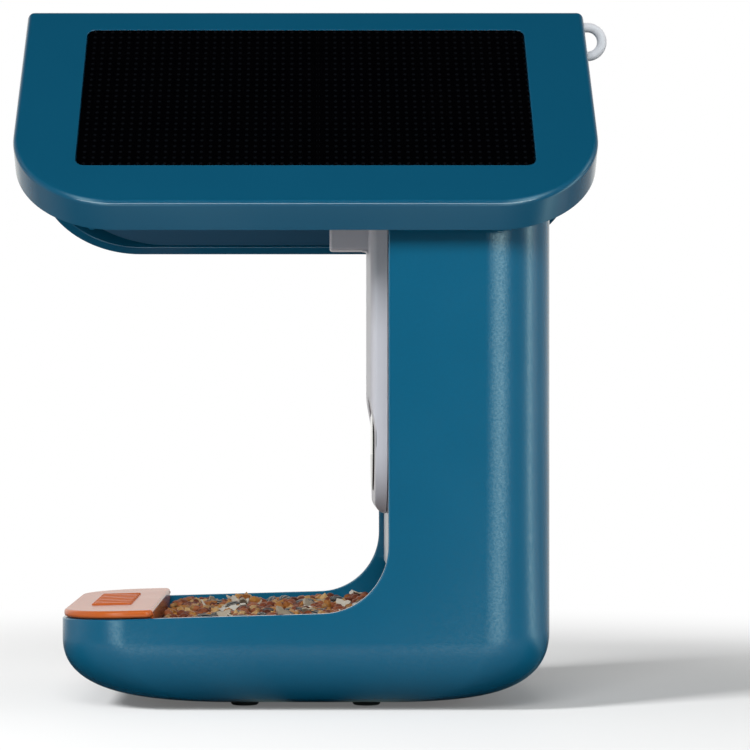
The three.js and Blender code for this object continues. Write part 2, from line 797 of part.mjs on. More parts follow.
function makeCameraFace() {
  const front = frontPrism(moduleOutline(0), moduleFront, moduleRear, moduleEdgeRadius)
    .intersect(box(headFront, modulePartingPlace, -reachAcross, reachAcross, 0, ridgeHeight))
    .intersect(sidePrism(faceSideOutline(), -reachAcross, reachAcross));
  const head = frontPrism(
    roundedOutline(-headHalfWidth, headHalfWidth, headBottom, headTop, 2 * headEdgeRadius),
    headFront, lowerFace, headEdgeRadius);
  const cavity = frontPrism(moduleOutline(-moduleWall), faceCavityFront, modulePartingPlace + overrun);
  const headCavity = box(headFront + moduleWall, faceCavityFront + overrun,
    moduleWall - headHalfWidth, headHalfWidth - moduleWall,
    headBottom + moduleWall, headTop - moduleWall);
  const ledge = cylinderX(0, lensHeight, lowerFace, ledgeRear, windowRadius + windowLedgeWidth);
  const windowSeat = cylinderX(
    0, lensHeight, moduleFront - overrun, windowRear + seatGap, windowRadius + seatGap);
  const windowHole = cylinderX(
    0, lensHeight, moduleFront, ledgeRear + overrun, windowRadius - windowLedgeWidth);
  const flapSeat = frontPrism(flapOutline(seatGap), moduleFront - overrun, flapBack + seatGap);
  return front.add(head).add(headFillet())
    .subtract(cavity)
    .subtract(headCavity)
    .add(ledge.intersect(sidePrism(faceSideOutline(), -reachAcross, reachAcross)))
    .subtract(windowSeat)
    .subtract(windowHole)
    .subtract(cylinderX(buttonSide, controlHeight, moduleFront - overrun, faceCavityFront + overrun,
      buttonRadius + seatGap))
    .subtract(frontPrism(portOutline(seatGap), moduleFront, faceCavityFront + overrun))
    .subtract(flapSeat);
}

function portOutline(grow) {
  return roundedOutline(
    portSide - portLength / 2 - grow, portSide + portLength / 2 + grow,
    controlHeight - portWidth / 2 - grow, controlHeight + portWidth / 2 + grow, portWidth / 2 + grow);
}

function flapOutline(grow) {
  return roundedOutline(
    portSide - flapLength / 2 - grow, portSide + flapLength / 2 + grow,
    controlHeight - flapWidth / 2 - grow, controlHeight + flapWidth / 2 + grow,
    flapCornerRadius + grow);
}

addPiece("camera_face", toGeometry(makeCameraFace()), moduleGrey, 0.35);

// Camera module: rear shell
function makeCameraHousing() {
  const front = modulePartingPlace + seatGap;
  return frontPrism(moduleOutline(0), moduleFront, moduleRear, moduleEdgeRadius)
    .intersect(box(front, moduleRear + overrun, -reachAcross, reachAcross, 0, ridgeHeight))
    .subtract(frontPrism(moduleOutline(-moduleWall), front - overrun, moduleRear - moduleWall));
}

addPiece("camera_housing", toGeometry(makeCameraHousing()), moduleGrey, 0.4);

// Window over the lens, and the lens in its barrel on the board
function makeWindow() {
  return cylinderX(0, lensHeight, windowFront, windowRear, windowRadius, 2 * smallRoundSteps);
}

addPiece("lens_window", toGeometry(makeWindow()), softBlack, 0.08);

const barrelRear = boardPlace - seatGap;
const barrelFront = barrelRear - barrelLength;

function makeBarrel() {
  return cylinderX(0, lensHeight, barrelFront, barrelRear, barrelRadius)
    .add(cylinderX(0, lensHeight, barrelRear - barrelFlangeThickness, barrelRear, barrelFlangeRadius))
    .subtract(cylinderX(
      0, lensHeight, barrelFront - overrun, barrelFront + lensSeatDepth, lensRadius + seatGap))
    .subtract(cylinderX(0, lensHeight, barrelFront, barrelRear + overrun, lensBoreRadius));
}

addPiece("lens_barrel", toGeometry(makeBarrel()), softBlack, 0.5);

function makeLens() {
  const rear = barrelFront + lensSeatDepth - seatGap;
  const profile = [[0, rear], [lensRadius, rear], [lensRadius, rear - lensThickness + lensBulge]];
  for (let step = 1; step <= arcSteps; step += 1) {
    const angle = (step / arcSteps) * quarterTurn;
    const front = rear - lensThickness + lensBulge * (1 - Math.sin(angle));
    profile.push([lensRadius * Math.cos(angle), front]);
  }
  profile[profile.length - 1][0] = 0;
  return turnedX(profile.reverse(), 0, 0, lensHeight);
}

addPiece("lens_glass", toGeometry(makeLens()), 0x2a3038, 0.05);

function boardEdge() {
  return moduleOutline(-boardMargin);
}

function makeBoard() {
  let board = frontPrism(boardEdge(), boardPlace, boardPlace + boardThickness)
    .intersect(box(boardPlace - overrun, boardPlace + boardThickness + overrun,
      -reachAcross, reachAcross, 0, boardTop));
  const height = boardTop - moduleBottom;
  const surface = boardPlace + boardThickness;
  chipHeightShares.forEach((share, place) => {
    const half = chipSizeShares[place] * moduleHalfWidth;
    const middle = moduleBottom + height * share;
    board = board.add(
      box(surface - boardThickness / 2, surface + chipThickness,
        -half, half, middle - half, middle + half));
  });
  return board;
}

addPiece("circuit_board", toGeometry(makeBoard()), 0x1d5b3a, 0.5);

const cellBottom = lensHeight + barrelFlangeRadius + cellRoomBelow;
const cellTop = controlHeight - controlBoardHalfHeight - cellRoomAbove - cellTipHeight;

for (const side of [-1, 1]) {
  const y = side * (cellRadius + cellGap / 2);
  const cell = cylinderZ(cellPlace, y, cellBottom, cellTop, cellRadius)
    .add(cylinderZ(cellPlace, y, cellTop - cellTipHeight, cellTop + cellTipHeight, cellTipRadius));
  addPiece(side < 0 ? "battery_cell_right" : "battery_cell_left", toGeometry(cell), 0x2c6d8e, 0.4);
}

// Power button with the switch and small board behind it
const flangeFront = faceCavityFront + seatGap;
const flangeBack = flangeFront + buttonFlangeThickness;

function makeButton() {
  const flangeRadius = buttonRadius + buttonFlange;
  return cylinderX(buttonSide, controlHeight, controlFace, flangeBack, buttonRadius)
    .add(cylinderX(buttonSide, controlHeight, flangeFront, flangeBack, flangeRadius));
}

addPiece("power_button", toGeometry(makeButton()), 0x8e9196, 0.4);

const switchFront = flangeBack + buttonTravel + seatGap;
const controlBoardFront = switchFront + switchHeight + seatGap;

function makeSwitch() {
  const half = switchSize / 2;
  return box(switchFront, switchFront + switchHeight, buttonSide - half, buttonSide + half,
    controlHeight - half, controlHeight + half);
}

addPiece("button_switch", toGeometry(makeSwitch()), 0x2a2c2e, 0.5);

function makeControlBoard() {
  return box(controlBoardFront, controlBoardFront + controlBoardThickness,
    -controlBoardHalfWidth, controlBoardHalfWidth,
    controlHeight - controlBoardHalfHeight, controlHeight + controlBoardHalfHeight);
}

addPiece("control_board", toGeometry(makeControlBoard()), 0x1d5b3a, 0.5);

// Charging port and its rubber flap
function makePort() {
  const front = flapBack + flapPadHeight + seatGap;
  return frontPrism(portOutline(0), front, controlBoardFront - seatGap)
    .subtract(frontPrism(portOutline(-portShell), front - overrun, front + portDepth));
}

addPiece("charging_port", toGeometry(makePort()), steelGrey, 0.3, 1);

function makeFlap() {
  return frontPrism(flapOutline(0), controlFace, flapBack)
    .add(frontPrism(portOutline(-flapPadInset), controlFace, flapBack + flapPadHeight));
}

addPiece("port_flap", toGeometry(makeFlap()), 0x3a3c3f, 0.75);

// Roof: two slab trays that meet at the ridge, with the hinge web at the rear
const halfRoof = roofLength / 2;
const pocketHigh = slopeLength - slabRimWidth;
const pocketLow = slabThickness * Math.tan(slopeAngle) + ridgeSpineWidth;
const coverLow = coverRecess - slabThickness;
const coverHigh = coverLow + coverThickness;
const bossPlaces = [-1, 1].flatMap((side) => [
  [side * (halfRoof - slabRimWidth - bossInset), pocketLow + bossInset],
  [side * (halfRoof - slabRimWidth - bossInset), pocketHigh - bossInset],
]);

function pocketOutline(inset, corner) {
  const half = halfRoof - slabRimWidth - inset;
  return roundedOutline(-half, half, pocketLow + inset, pocketHigh - inset, bossRadius, corner);
}

function panelOutline(grow) {
  const half = panelLength / 2 + grow;
  return roundedOutline(-half, half, panelTopOffset - grow, panelTopOffset + panelWidth + grow,
    panelCornerRadius + grow);
}

function slopeCylinder([x, down], low, high, radius) {
  const geometry = new THREE.CylinderGeometry(radius, radius, high - low, smallRoundSteps);
  geometry.rotateX(quarterTurn).translate(x, down, (low + high) / 2);
  return toSolid(geometry.applyMatrix4(slopeFrame));
}

function makeSlab() {
  const outline = roundedOutline(
    -halfRoof, halfRoof, -slabThickness - overrun, slopeLength, 0, eaveCornerRadius);
  const beyond = roofLength;
  const pocketCorner = eaveCornerRadius - slabRimWidth;
  const below = polygon([[-beyond, -beyond], [beyond, -beyond], [beyond, beyond], [-beyond, beyond]]);
  let slab = slopePrism(outline, -slabThickness - 2 * slabEdgeRadius, 0, slabEdgeRadius)
    .subtract(slopePrism(below, -2 * slabThickness, -slabThickness))
    .intersect(box(-beyond, beyond, -ridgeRadius / 4, beyond, 0, ridgeHeight + overrun))
    .subtract(slopePrism(pocketOutline(0, pocketCorner), -slabThickness - overrun, -slabTopWall));
  const ribPitch = (roofLength - 2 * slabRimWidth) / (roofRibCount + 1);
  for (let rib = 1; rib <= roofRibCount; rib += 1) {
    const x = slabRimWidth - halfRoof + rib * ribPitch;
    const across = roundedOutline(x - roofRibThickness / 2, x + roofRibThickness / 2,
      pocketLow - overrun, pocketHigh + overrun, 0);
    slab = slab.add(slopePrism(across, -slabTopWall - roofRibHeight, -slabTopWall + seatGap));
  }
  for (const place of bossPlaces) {
    const holeTop = coverLow + screwShankLength + seatGap;
    slab = slab
      .add(slopeCylinder(place, coverHigh + seatGap, -slabTopWall + seatGap, bossRadius))
      .subtract(slopeCylinder(place, coverHigh - overrun, holeTop, screwShankRadius + seatGap));
  }
  return slab.subtract(
    slopePrism(panelOutline(seatGap), -panelThickness - seatGap, overrun, 0, smallArcSteps));
}

// Takes the sharp ridge down to its round
function ridgeCutter() {
  const reach = ridgeRadius * slopeSine;
  const centre = ridgeHeight - ridgeRadius / slopeCosine;
  const shape = new THREE.Shape();
  shape.moveTo(reach, ridgeHeight - reach);
  shape.lineTo(reach, ridgeHeight + overrun);
  shape.lineTo(-reach, ridgeHeight + overrun);
  shape.lineTo(-reach, ridgeHeight - reach);
  shape.absarc(0, centre, ridgeRadius, quarterTurn + slopeAngle, slopeAngle, true);
  return frontPrism(shape, -halfRoof - overrun, halfRoof + overrun);
}

function hingeWeb() {
  const rear = hingeWebPlace + hingeWebThickness;
  const low = hingeHeight - knuckleRadius;
  const shape = polygon([
    [-middleKnuckleHalf, low],
    [middleKnuckleHalf, low],
    [hingeWebHalfWidth, undersideAt(hingeWebHalfWidth, -hingeWebOverlap)],
    [0, undersideAt(0, -hingeWebOverlap)],
    [-hingeWebHalfWidth, undersideAt(hingeWebHalfWidth, -hingeWebOverlap)],
  ]);
  const half = middleKnuckleHalf;
  const bore = hingePinRadius + seatGap;
  return frontPrism(shape, hingeWebPlace, rear)
    .add(cylinderY(hingeAxisX, hingeHeight, -half, half, knuckleRadius))
    .add(box(hingeAxisX, rear, -half, half, low, hingeHeight + knuckleRadius))
    .subtract(cylinderY(hingeAxisX, hingeHeight, -half - overrun, half + overrun, bore));
}

const eyeX = halfRoof + eyeReach;
const eyeZ = ridgeHeight - eyeDrop;

function eyeBoss() {
  const low = eyeZ - eyeMeanRadius - eyeWireRadius - eyeBossWall;
  const shape = polygon([
    [-eyeBossHalfWidth, low],
    [eyeBossHalfWidth, low],
    [eyeBossHalfWidth, undersideAt(eyeBossHalfWidth, -hingeWebOverlap)],
    [0, undersideAt(0, -hingeWebOverlap)],
    [-eyeBossHalfWidth, undersideAt(eyeBossHalfWidth, -hingeWebOverlap)],
  ]);
  return frontPrism(shape, halfRoof - eyeBossLength, halfRoof - slabEdgeRadius);
}

function makeRoof() {
  const slab = makeSlab();
  let roof = slab.add(toSolid(acrossFeeder(toGeometry(slab))))
    .subtract(ridgeCutter())
    .add(hingeWeb())
    .add(eyeBoss());
  for (const side of [-1, 1]) {
    roof = roof.subtract(
      cylinderX(0, eyeZ + side * eyeMeanRadius, eyeX - eyeLegLength - seatGap, halfRoof + overrun,
        eyeWireRadius + seatGap));
  }
  return roof;
}

addPiece("roof_shell", toGeometry(makeRoof()), roofBlue, 0.32);

function onBothSlopes(name, solid, color, roughness) {
  const geometry = toGeometry(solid);
  addPiece(`${name}_left`, geometry, color, roughness);
  addPiece(`${name}_right`, acrossFeeder(geometry), color, roughness);
}

function makeCover() {
  let cover = slopePrism(pocketOutline(seatGap, coverCornerRadius), coverLow, coverHigh);
  for (const place of bossPlaces) {
    cover = cover.subtract(
      slopeCylinder(place, coverLow - overrun, coverHigh + overrun, screwShankRadius + seatGap));
  }
  return cover;
}

onBothSlopes("roof_cover", makeCover(), 0x0f4560, 0.5);
const panelSolid = slopePrism(panelOutline(0), -panelThickness, 0, 0, smallArcSteps);
onBothSlopes("solar_panel", panelSolid, 0x050608, 0.25);

// Hanging eye: half a ring with two legs that sit in the ridge's end
class EyeCurve extends THREE.Curve {
  getPoint(share, target = new THREE.Vector3()) {
    const arc = Math.PI * eyeMeanRadius;
    const along = share * (2 * eyeLegLength + arc);
    if (along < eyeLegLength) return target.set(eyeX - eyeLegLength + along, 0, eyeZ - eyeMeanRadius);
    if (along > eyeLegLength + arc) {
      return target.set(eyeX - (along - eyeLegLength - arc), 0, eyeZ + eyeMeanRadius);
    }
    const angle = (along - eyeLegLength) / eyeMeanRadius - quarterTurn;
    const z = eyeZ + eyeMeanRadius * Math.sin(angle);
    return target.set(eyeX + eyeMeanRadius * Math.cos(angle), 0, z);
  }
}

function makeEye() {
  const section = new THREE.Shape().absarc(0, 0, eyeWireRadius, 0, 4 * quarterTurn);
  return toSolid(new THREE.ExtrudeGeometry(section, {
    steps: eyeSteps,
    curveSegments: arcSteps,
    extrudePath: new EyeCurve(),
    bevelEnabled: false,
  }));
}

addPiece("hang_eye", toGeometry(makeEye()), 0xd4d7db, 0.3);

// Hinge pin, with a head at one end
function makeHingePin() {
  const headStart = outerKnuckleHigh + seatGap;
  const headEnd = headStart + hingePinHeadThickness;
  return cylinderY(hingeAxisX, hingeHeight, -outerKnuckleHigh, headEnd, hingePinRadius)
    .add(cylinderY(hingeAxisX, hingeHeight, headStart, headEnd, hingePinHeadRadius));
}

addPiece("hinge_pin", toGeometry(makeHingePin()), steelGrey, 0.3, 1);

// The eye reaches past the roof at the rear, so the whole feeder moves forward by half of
// that reach: the origin then lies in the middle of its length, on the supporting surface.
const rearReach = eyeReach + eyeMeanRadius + eyeWireRadius;
const group = new THREE.Group();
group.position.x = -rearReach / 2;
group.add(...pieces);

export default group;
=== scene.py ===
# %% [markdown]
# # Dressing a bird feeder with a camera in it
#
# The imported model is the skeleton of a bird feeder: a blue C-shaped housing with a seed tray
# and a hopper column, a gable roof with solar panels, and a pale camera module in the column.
# This lesson gives each moulding its rounded edges, its real plastic and the small parts that
# a drawing leaves out, such as screws and thousands of seeds.
# First it loads the imported model and hangs each part on its body.

import json
import math
import random

import bmesh
import bpy
from mathutils import Matrix, Vector, noise

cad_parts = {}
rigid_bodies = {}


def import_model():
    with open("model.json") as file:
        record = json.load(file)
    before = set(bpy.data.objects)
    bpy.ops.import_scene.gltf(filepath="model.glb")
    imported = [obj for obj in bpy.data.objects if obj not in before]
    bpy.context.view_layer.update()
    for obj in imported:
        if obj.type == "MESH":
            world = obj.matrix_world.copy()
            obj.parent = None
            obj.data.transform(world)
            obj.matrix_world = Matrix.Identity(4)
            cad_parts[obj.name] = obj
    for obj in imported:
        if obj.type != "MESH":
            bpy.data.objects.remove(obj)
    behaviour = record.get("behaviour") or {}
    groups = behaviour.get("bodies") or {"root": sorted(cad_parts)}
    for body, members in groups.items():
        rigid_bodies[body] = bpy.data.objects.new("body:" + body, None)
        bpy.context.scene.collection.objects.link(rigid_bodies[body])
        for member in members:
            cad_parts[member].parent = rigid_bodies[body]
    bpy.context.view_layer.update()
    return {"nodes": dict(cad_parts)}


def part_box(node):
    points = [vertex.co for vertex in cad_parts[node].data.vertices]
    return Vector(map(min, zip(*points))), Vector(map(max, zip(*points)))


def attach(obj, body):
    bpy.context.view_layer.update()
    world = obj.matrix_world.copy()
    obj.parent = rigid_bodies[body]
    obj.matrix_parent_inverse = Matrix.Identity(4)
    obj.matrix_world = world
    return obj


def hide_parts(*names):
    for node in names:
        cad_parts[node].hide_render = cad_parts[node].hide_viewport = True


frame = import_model()
nodes = frame["nodes"]

# %% [markdown]
# ## Millimetres and colours
#
# The feeder was drawn in millimetres about the middle of its roof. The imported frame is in
# metres, and its origin lies half of the hanging eye's reach further back. Every mesh here is
# built in the drawing's millimetres and settled into the frame at the end, which keeps the
# numbers readable and the cuts exact.
#
# Colours are easiest to judge as the hex values that a screen shows. Blender's shaders want
# linear light, so one function turns hex into linear.

# %% Units, places and colours
MM = 0.001
QUARTER = math.pi / 2
# Parts that sit in one another keep this gap
SEAT_GAP = 0.3
# The hanging eye reaches past the roof's end by a gap, its ring's radius and its wire's
# radius. Its legs run the other way, into the roof.
EYE_GAP = 1.7
EYE_MEAN = 5.45
EYE_WIRE = 1.82
EYE_LEG = 8.0
SHIFT = -(EYE_GAP + EYE_MEAN + EYE_WIRE) / 2
TO_FRAME = Matrix.Scale(MM, 4) @ Matrix.Translation((SHIFT, 0, 0))


def in_frame(x, y, z):
    """A point of the drawing, in millimetres, as a point of the frame, in metres."""
    return TO_FRAME @ Vector((x, y, z))


def linear(hex_value, alpha=1.0):
    """An sRGB hex colour as the linear colour that a shader works with."""
    channels = [((hex_value >> bits) & 255) / 255 for bits in (16, 8, 0)]
    return (*[c / 12.92 if c <= 0.04045 else ((c + 0.055) / 1.055) ** 2.4 for c in channels], alpha)


print("the roof's middle lies at", [round(c, 5) for c in in_frame(0, 0, 0)])

# %% [markdown]
# ## The camera
#
# The picture is a side view from just outside the near eave, taken level with the lower part
# of the column. A level camera keeps the column's edges upright. The lens shift slides the
# frame up and to the right without tilting anything, as a view camera does, so that the whole
# feeder is in the picture while the horizon stays at the height of the eye.

# %% The camera
EYE_HEIGHT = 0.1062
DISTANCE = 0.998
camera_data = bpy.data.cameras.new("camera")
camera_data.lens = 126.5
camera_data.sensor_width = 36
camera_data.shift_x = 0.0925
camera_data.shift_y = 0.0533
camera_data.clip_start = 0.05
camera_data.clip_end = 50
camera = bpy.data.objects.new("camera", camera_data)
camera.location = (SHIFT * MM, -DISTANCE, EYE_HEIGHT)
camera.rotation_euler = (QUARTER, 0, 0)
bpy.context.scene.collection.objects.link(camera)
bpy.context.scene.camera = camera
print("camera at", [round(c, 3) for c in camera.location])

# %% [markdown]
# ## One helper for shader nodes
#
# A material is a small network of nodes. Adding one always takes the same steps: make it, set
# its values and connect its inputs. One function does these three, for every kind of node. An
# input is connected to another node's first output, unless one of its outputs is named.
# A second function starts a material and returns its network and its Principled shader.

# %% Shader helpers


def add_node(tree, kind, settings=None, links=None):
    """A shader node with its settings, by input name or number or by property, and its links."""
    made = tree.nodes.new(kind)
    for key, value in (settings or {}).items():
        if isinstance(key, int) or key in made.inputs:
            made.inputs[key].default_value = value
        else:
            setattr(made, key, value)
    for key, source in (links or {}).items():
        output = source.outputs[0] if isinstance(source, bpy.types.Node) else source
        tree.links.new(output, made.inputs[key])
    return made


def start_material(name, **sockets):
    """A new material, its network and its Principled shader with the given socket values."""
    material = bpy.data.materials.new(name)
    material.use_nodes = True
    tree = material.node_tree
    shader = tree.nodes["Principled BSDF"]
    for key, value in sockets.items():
        shader.inputs[key.replace("_", " ")].default_value = value
    return material, tree, shader


# %% [markdown]
# ## The moulded plastics
#
# Outdoor mouldings like these are ABS or its weatherproof cousin ASA, injected into a steel
# mould. The mould's face is spark eroded to a fine, even grain, so the plastic has a soft,
# wide gloss instead of a mirror's. Real grain is about 0.1 mm, finer than a pixel of this
# picture, so it is drawn as 0.5 mm and shallow: it only breaks up the edge of a highlight.
# On the housing, single peaks of the grain also flash or go dull, which the eye takes for the
# mould's texture. A third noise, drawn as 0.8 mm so that one flash is about two pixels wide,
# varies how much the surface mirrors.
# Slow noise over a few centimetres moves the colour and the gloss a little, as the flow of
# the plastic does. All the plastics share this network and differ in their values.

# %% Moulded plastic
FLASH_GRAIN = 0.8
FLOW_MARKS = 34


def moulded_plastic(
        name, colour, roughness, grain=0.5, depth=0.012, ior=1.54, vary=0.035, flash=0.0):
    """A dyed, injection-moulded plastic: lengths in millimetres, vary as a share of the colour."""
    material, tree, shader = start_material(name, IOR=ior)
    place = add_node(tree, "ShaderNodeTexCoord").outputs["Object"]
    slow = add_node(
        tree, "ShaderNodeTexNoise", {"Scale": 1 / (FLOW_MARKS * MM), "Detail": 3.0},
        {"Vector": place})
    deep, pale = ([c * share for c in linear(colour)[:3]] + [1] for share in (1 - vary, 1 + vary))
    tint = add_node(tree, "ShaderNodeMix", {"data_type": "RGBA", 6: deep, 7: pale}, {0: slow})
    gloss = add_node(
        tree, "ShaderNodeMapRange", {"To Min": roughness - 0.04, "To Max": roughness + 0.04},
        {"Value": slow})
    fine = add_node(
        tree, "ShaderNodeTexNoise", {"Scale": 1 / (grain * MM), "Detail": 2.0}, {"Vector": place})
    bump = add_node(
        tree, "ShaderNodeBump", {"Strength": 0.6, "Distance": depth * MM}, {"Height": fine})
    tree.links.new(tint.outputs[2], shader.inputs["Base Color"])
    tree.links.new(gloss.outputs["Result"], shader.inputs["Roughness"])
    tree.links.new(bump.outputs["Normal"], shader.inputs["Normal"])
    if flash:
        peaks = add_node(
            tree, "ShaderNodeTexNoise", {"Scale": 1 / (FLASH_GRAIN * MM), "Detail": 1.0},
            {"Vector": place})
        level = add_node(
            tree, "ShaderNodeMapRange",
            {"From Min": 0.3, "From Max": 0.7, "To Min": 0.5 - flash, "To Max": 0.5 + flash},
            {"Value": peaks})
        tree.links.new(level.outputs["Result"], shader.inputs["Specular IOR Level"])
    return material


# The roof's blue is deeper than the housing's, and its mould is polished a little more, which
# keeps the slopes even and their highlights narrow. Covers have a coarser, duller grain.
housing_asa = moulded_plastic("housing_asa_spark_eroded", 0x0F6081, 0.16, depth=0.03, flash=0.17)
roof_asa = moulded_plastic("roof_asa_spark_eroded", 0x0A4761, 0.14, depth=0.02)
cover_asa = moulded_plastic("cover_asa_coarse_grain", 0x0A3F59, 0.5, grain=0.8, depth=0.03)
# The perch is glossy ABS from a polished mould, which mirrors what is near it.
perch_abs = moulded_plastic("perch_abs_polished", 0xC86226, 0.24, grain=1.2, depth=0.004, vary=0.02)
module_abs = moulded_plastic("module_abs_satin", 0xCACAD1, 0.38, vary=0.015)
eye_nylon = moulded_plastic("eye_nylon_moulded", 0xD3D5DA, 0.33, ior=1.53, vary=0.02)
ramp_abs = moulded_plastic("ramp_abs_black", 0x24292D, 0.45)
button_abs = moulded_plastic("button_abs_satin", 0x8E9196, 0.35, vary=0.015)
# Rubber scatters light from a dull, slightly dusty skin, so its gloss is nearly gone.
foot_rubber = moulded_plastic(
    "foot_tpe_rubber_moulded", 0x101113, 0.75, grain=0.7, depth=0.04, ior=1.5)
print("plastics:", [m.name for m in bpy.data.materials if "_asa" in m.name or "_abs" in m.name])

# %% [markdown]
# ## Metals, glass and electronics
#
# The metals are plain Principled metals with their typical colour and a fine brushed or turned
# grain. The hopper's front panel is opal acrylic, IOR 1.49: most of the light that enters it
# comes back out as a soft white, so the panel looks pale from any side. The lens window is
# smoked acrylic, and the lens behind it is coated glass whose blue sheen comes from a tinted
# coat over a dark body.

# %% Metals


def worked_metal(name, colour, roughness, stretch, spacing=0.35):
    """A metal with fine lines along the axis whose stretch is small; spacing in millimetres."""
    material, tree, shader = start_material(name, Metallic=1.0, Base_Color=linear(colour))
    place = add_node(tree, "ShaderNodeTexCoord").outputs["Object"]
    drawn = add_node(tree, "ShaderNodeMapping", {"Scale": stretch}, {"Vector": place})
    lines = add_node(
        tree, "ShaderNodeTexNoise", {"Scale": 1 / (spacing * MM), "Detail": 2.0}, {"Vector": drawn})
    gloss = add_node(
        tree, "ShaderNodeMapRange", {"To Min": roughness - 0.07, "To Max": roughness + 0.07},
        {"Value": lines})
    bump = add_node(
        tree, "ShaderNodeBump", {"Strength": 0.35, "Distance": 0.01 * MM}, {"Height": lines})
    tree.links.new(gloss.outputs["Result"], shader.inputs["Roughness"])
    tree.links.new(bump.outputs["Normal"], shader.inputs["Normal"])
    return material


pin_steel = worked_metal("pin_steel_ground", 0xB9BBBD, 0.28, (1, 0.08, 1))
screw_steel = worked_metal("screw_stainless_steel", 0xA9ACAF, 0.32, (1, 1, 1), spacing=0.6)
insert_brass = worked_metal("insert_brass_turned", 0xC9A45C, 0.25, (1, 1, 6))
port_steel = worked_metal("port_steel_stamped", 0xB4B6B8, 0.3, (1, 1, 0.2))
print("metals:", [m.name for m in (pin_steel, screw_steel, insert_brass, port_steel)])

# %% Acrylic sheet and lens glass


def sheet_acrylic(name, colour, roughness, clear, ripple=0.0):
    """Cast acrylic: clear is the share of light that it lets through, ripple its waviness in mm."""
    material, tree, shader = start_material(
        name, Base_Color=linear(colour), Roughness=roughness, IOR=1.49, Transmission_Weight=clear)
    if ripple:
        place = add_node(tree, "ShaderNodeTexCoord").outputs["Object"]
        wave = add_node(
            tree, "ShaderNodeTexNoise", {"Scale": 1 / (22 * MM), "Detail": 1.0}, {"Vector": place})
        bump = add_node(
            tree, "ShaderNodeBump", {"Strength": 0.4, "Distance": ripple * MM}, {"Height": wave})
        tree.links.new(bump.outputs["Normal"], shader.inputs["Normal"])
    return material


panel_acrylic = sheet_acrylic("panel_acrylic_opal", 0xE9F0F6, 0.32, 0.25, ripple=0.2)
window_acrylic = sheet_acrylic("window_acrylic_smoked", 0x2A2C30, 0.03, 1.0)
lens_glass = start_material(
    "lens_glass_coated", Base_Color=linear(0x0A0D16), Roughness=0.04, IOR=1.6, Coat_Weight=1.0,
    Coat_Roughness=0.03, Coat_Tint=linear(0x8FA8FF))[0]
print("sheets and lens:", panel_acrylic.name, window_acrylic.name, lens_glass.name)

# %% [markdown]
# ## The solar glass
#
# Each panel is monocrystalline silicon under a satin glass sheet: near black, with a grid of
# small grey dots where a textured back film shows between the printed fingers, and thin
# dark gaps between the cells. The sheet has an anti-reflective skin, so it mirrors far less
# than plain glass does, and its specular level is turned down. The pattern is drawn in the
# plane of the slope, so the object coordinates are first turned by the roof's 45 degrees. The
# dots stand 3.2 mm apart, twice the real pitch, or they would vanish in the picture.

# %% Solar glass
PANEL_LENGTH = 163
DOT_PITCH = 3.2
CELL_WIDTH = 40.6
CELL_HEIGHT = 39.0
CELL_GAP = 0.7


def solar_glass(name, side):
    """The panel on the +Y slope for side 1, and on the -Y slope for side -1."""
    material, tree, shader = start_material(name, IOR=1.52, Specular_IOR_Level=0.05)
    place = add_node(tree, "ShaderNodeTexCoord").outputs["Object"]
    flat = add_node(
        tree, "ShaderNodeMapping", {"vector_type": "POINT", "Rotation": (side * math.pi / 4, 0, 0)},
        {"Vector": place})
    dots = add_node(
        tree, "ShaderNodeTexVoronoi",
        {"feature": "F1", "voronoi_dimensions": "2D", "Scale": 1 / (DOT_PITCH * MM),
         "Randomness": 0.0},
        {"Vector": flat})
    spot = add_node(
        tree, "ShaderNodeMapRange",
        {"From Min": 0.16, "From Max": 0.22, "To Min": 1.0, "To Max": 0.0},
        {"Value": dots})
    parts = add_node(tree, "ShaderNodeSeparateXYZ", {}, {0: flat})
    gaps = []
    for axis, size in ((0, CELL_WIDTH), (1, CELL_HEIGHT)):
        across = add_node(
            tree, "ShaderNodeMath", {"operation": "PINGPONG", 1: size * MM / 2},
            {0: parts.outputs[axis]})
        gap = add_node(
            tree, "ShaderNodeMath", {"operation": "LESS_THAN", 1: CELL_GAP * MM / 2}, {0: across})
        gaps.append(gap)
    seam = add_node(tree, "ShaderNodeMath", {"operation": "MAXIMUM"}, {0: gaps[0], 1: gaps[1]})
    cloud = add_node(
        tree, "ShaderNodeTexNoise", {"Scale": 1 / (18 * MM), "Detail": 4.0}, {"Vector": place})
    silicon = add_node(
        tree, "ShaderNodeMix", {"data_type": "RGBA", 6: linear(0x010102), 7: linear(0x020203)},
        {0: cloud})
    dotted = add_node(
        tree, "ShaderNodeMix", {"data_type": "RGBA", 7: linear(0x0A0C0F)},
        {0: spot, 6: silicon.outputs[2]})
    seamed = add_node(
        tree, "ShaderNodeMix", {"data_type": "RGBA", 7: linear(0x020203)},
        {0: seam, 6: dotted.outputs[2]})
    gloss = add_node(tree, "ShaderNodeMapRange", {"To Min": 0.16, "To Max": 0.22}, {"Value": cloud})
    tree.links.new(seamed.outputs[2], shader.inputs["Base Color"])
    tree.links.new(gloss.outputs["Result"], shader.inputs["Roughness"])
    return material


solar_left = solar_glass("solar_glass_satin_left", 1)
solar_right = solar_glass("solar_glass_satin_right", -1)
cell_count, dot_count = (round(PANEL_LENGTH / size) for size in (CELL_WIDTH, DOT_PITCH))
print("along a panel:", cell_count, "cells and", dot_count, "dots")

# %% [markdown]
# ## Boards and battery cells
#
# These sit inside the module and show only when it is opened or drawn in section, so they
# get simple, true finishes: green solder mask with paler traces, and a blue shrink sleeve.

# %% Boards and cells


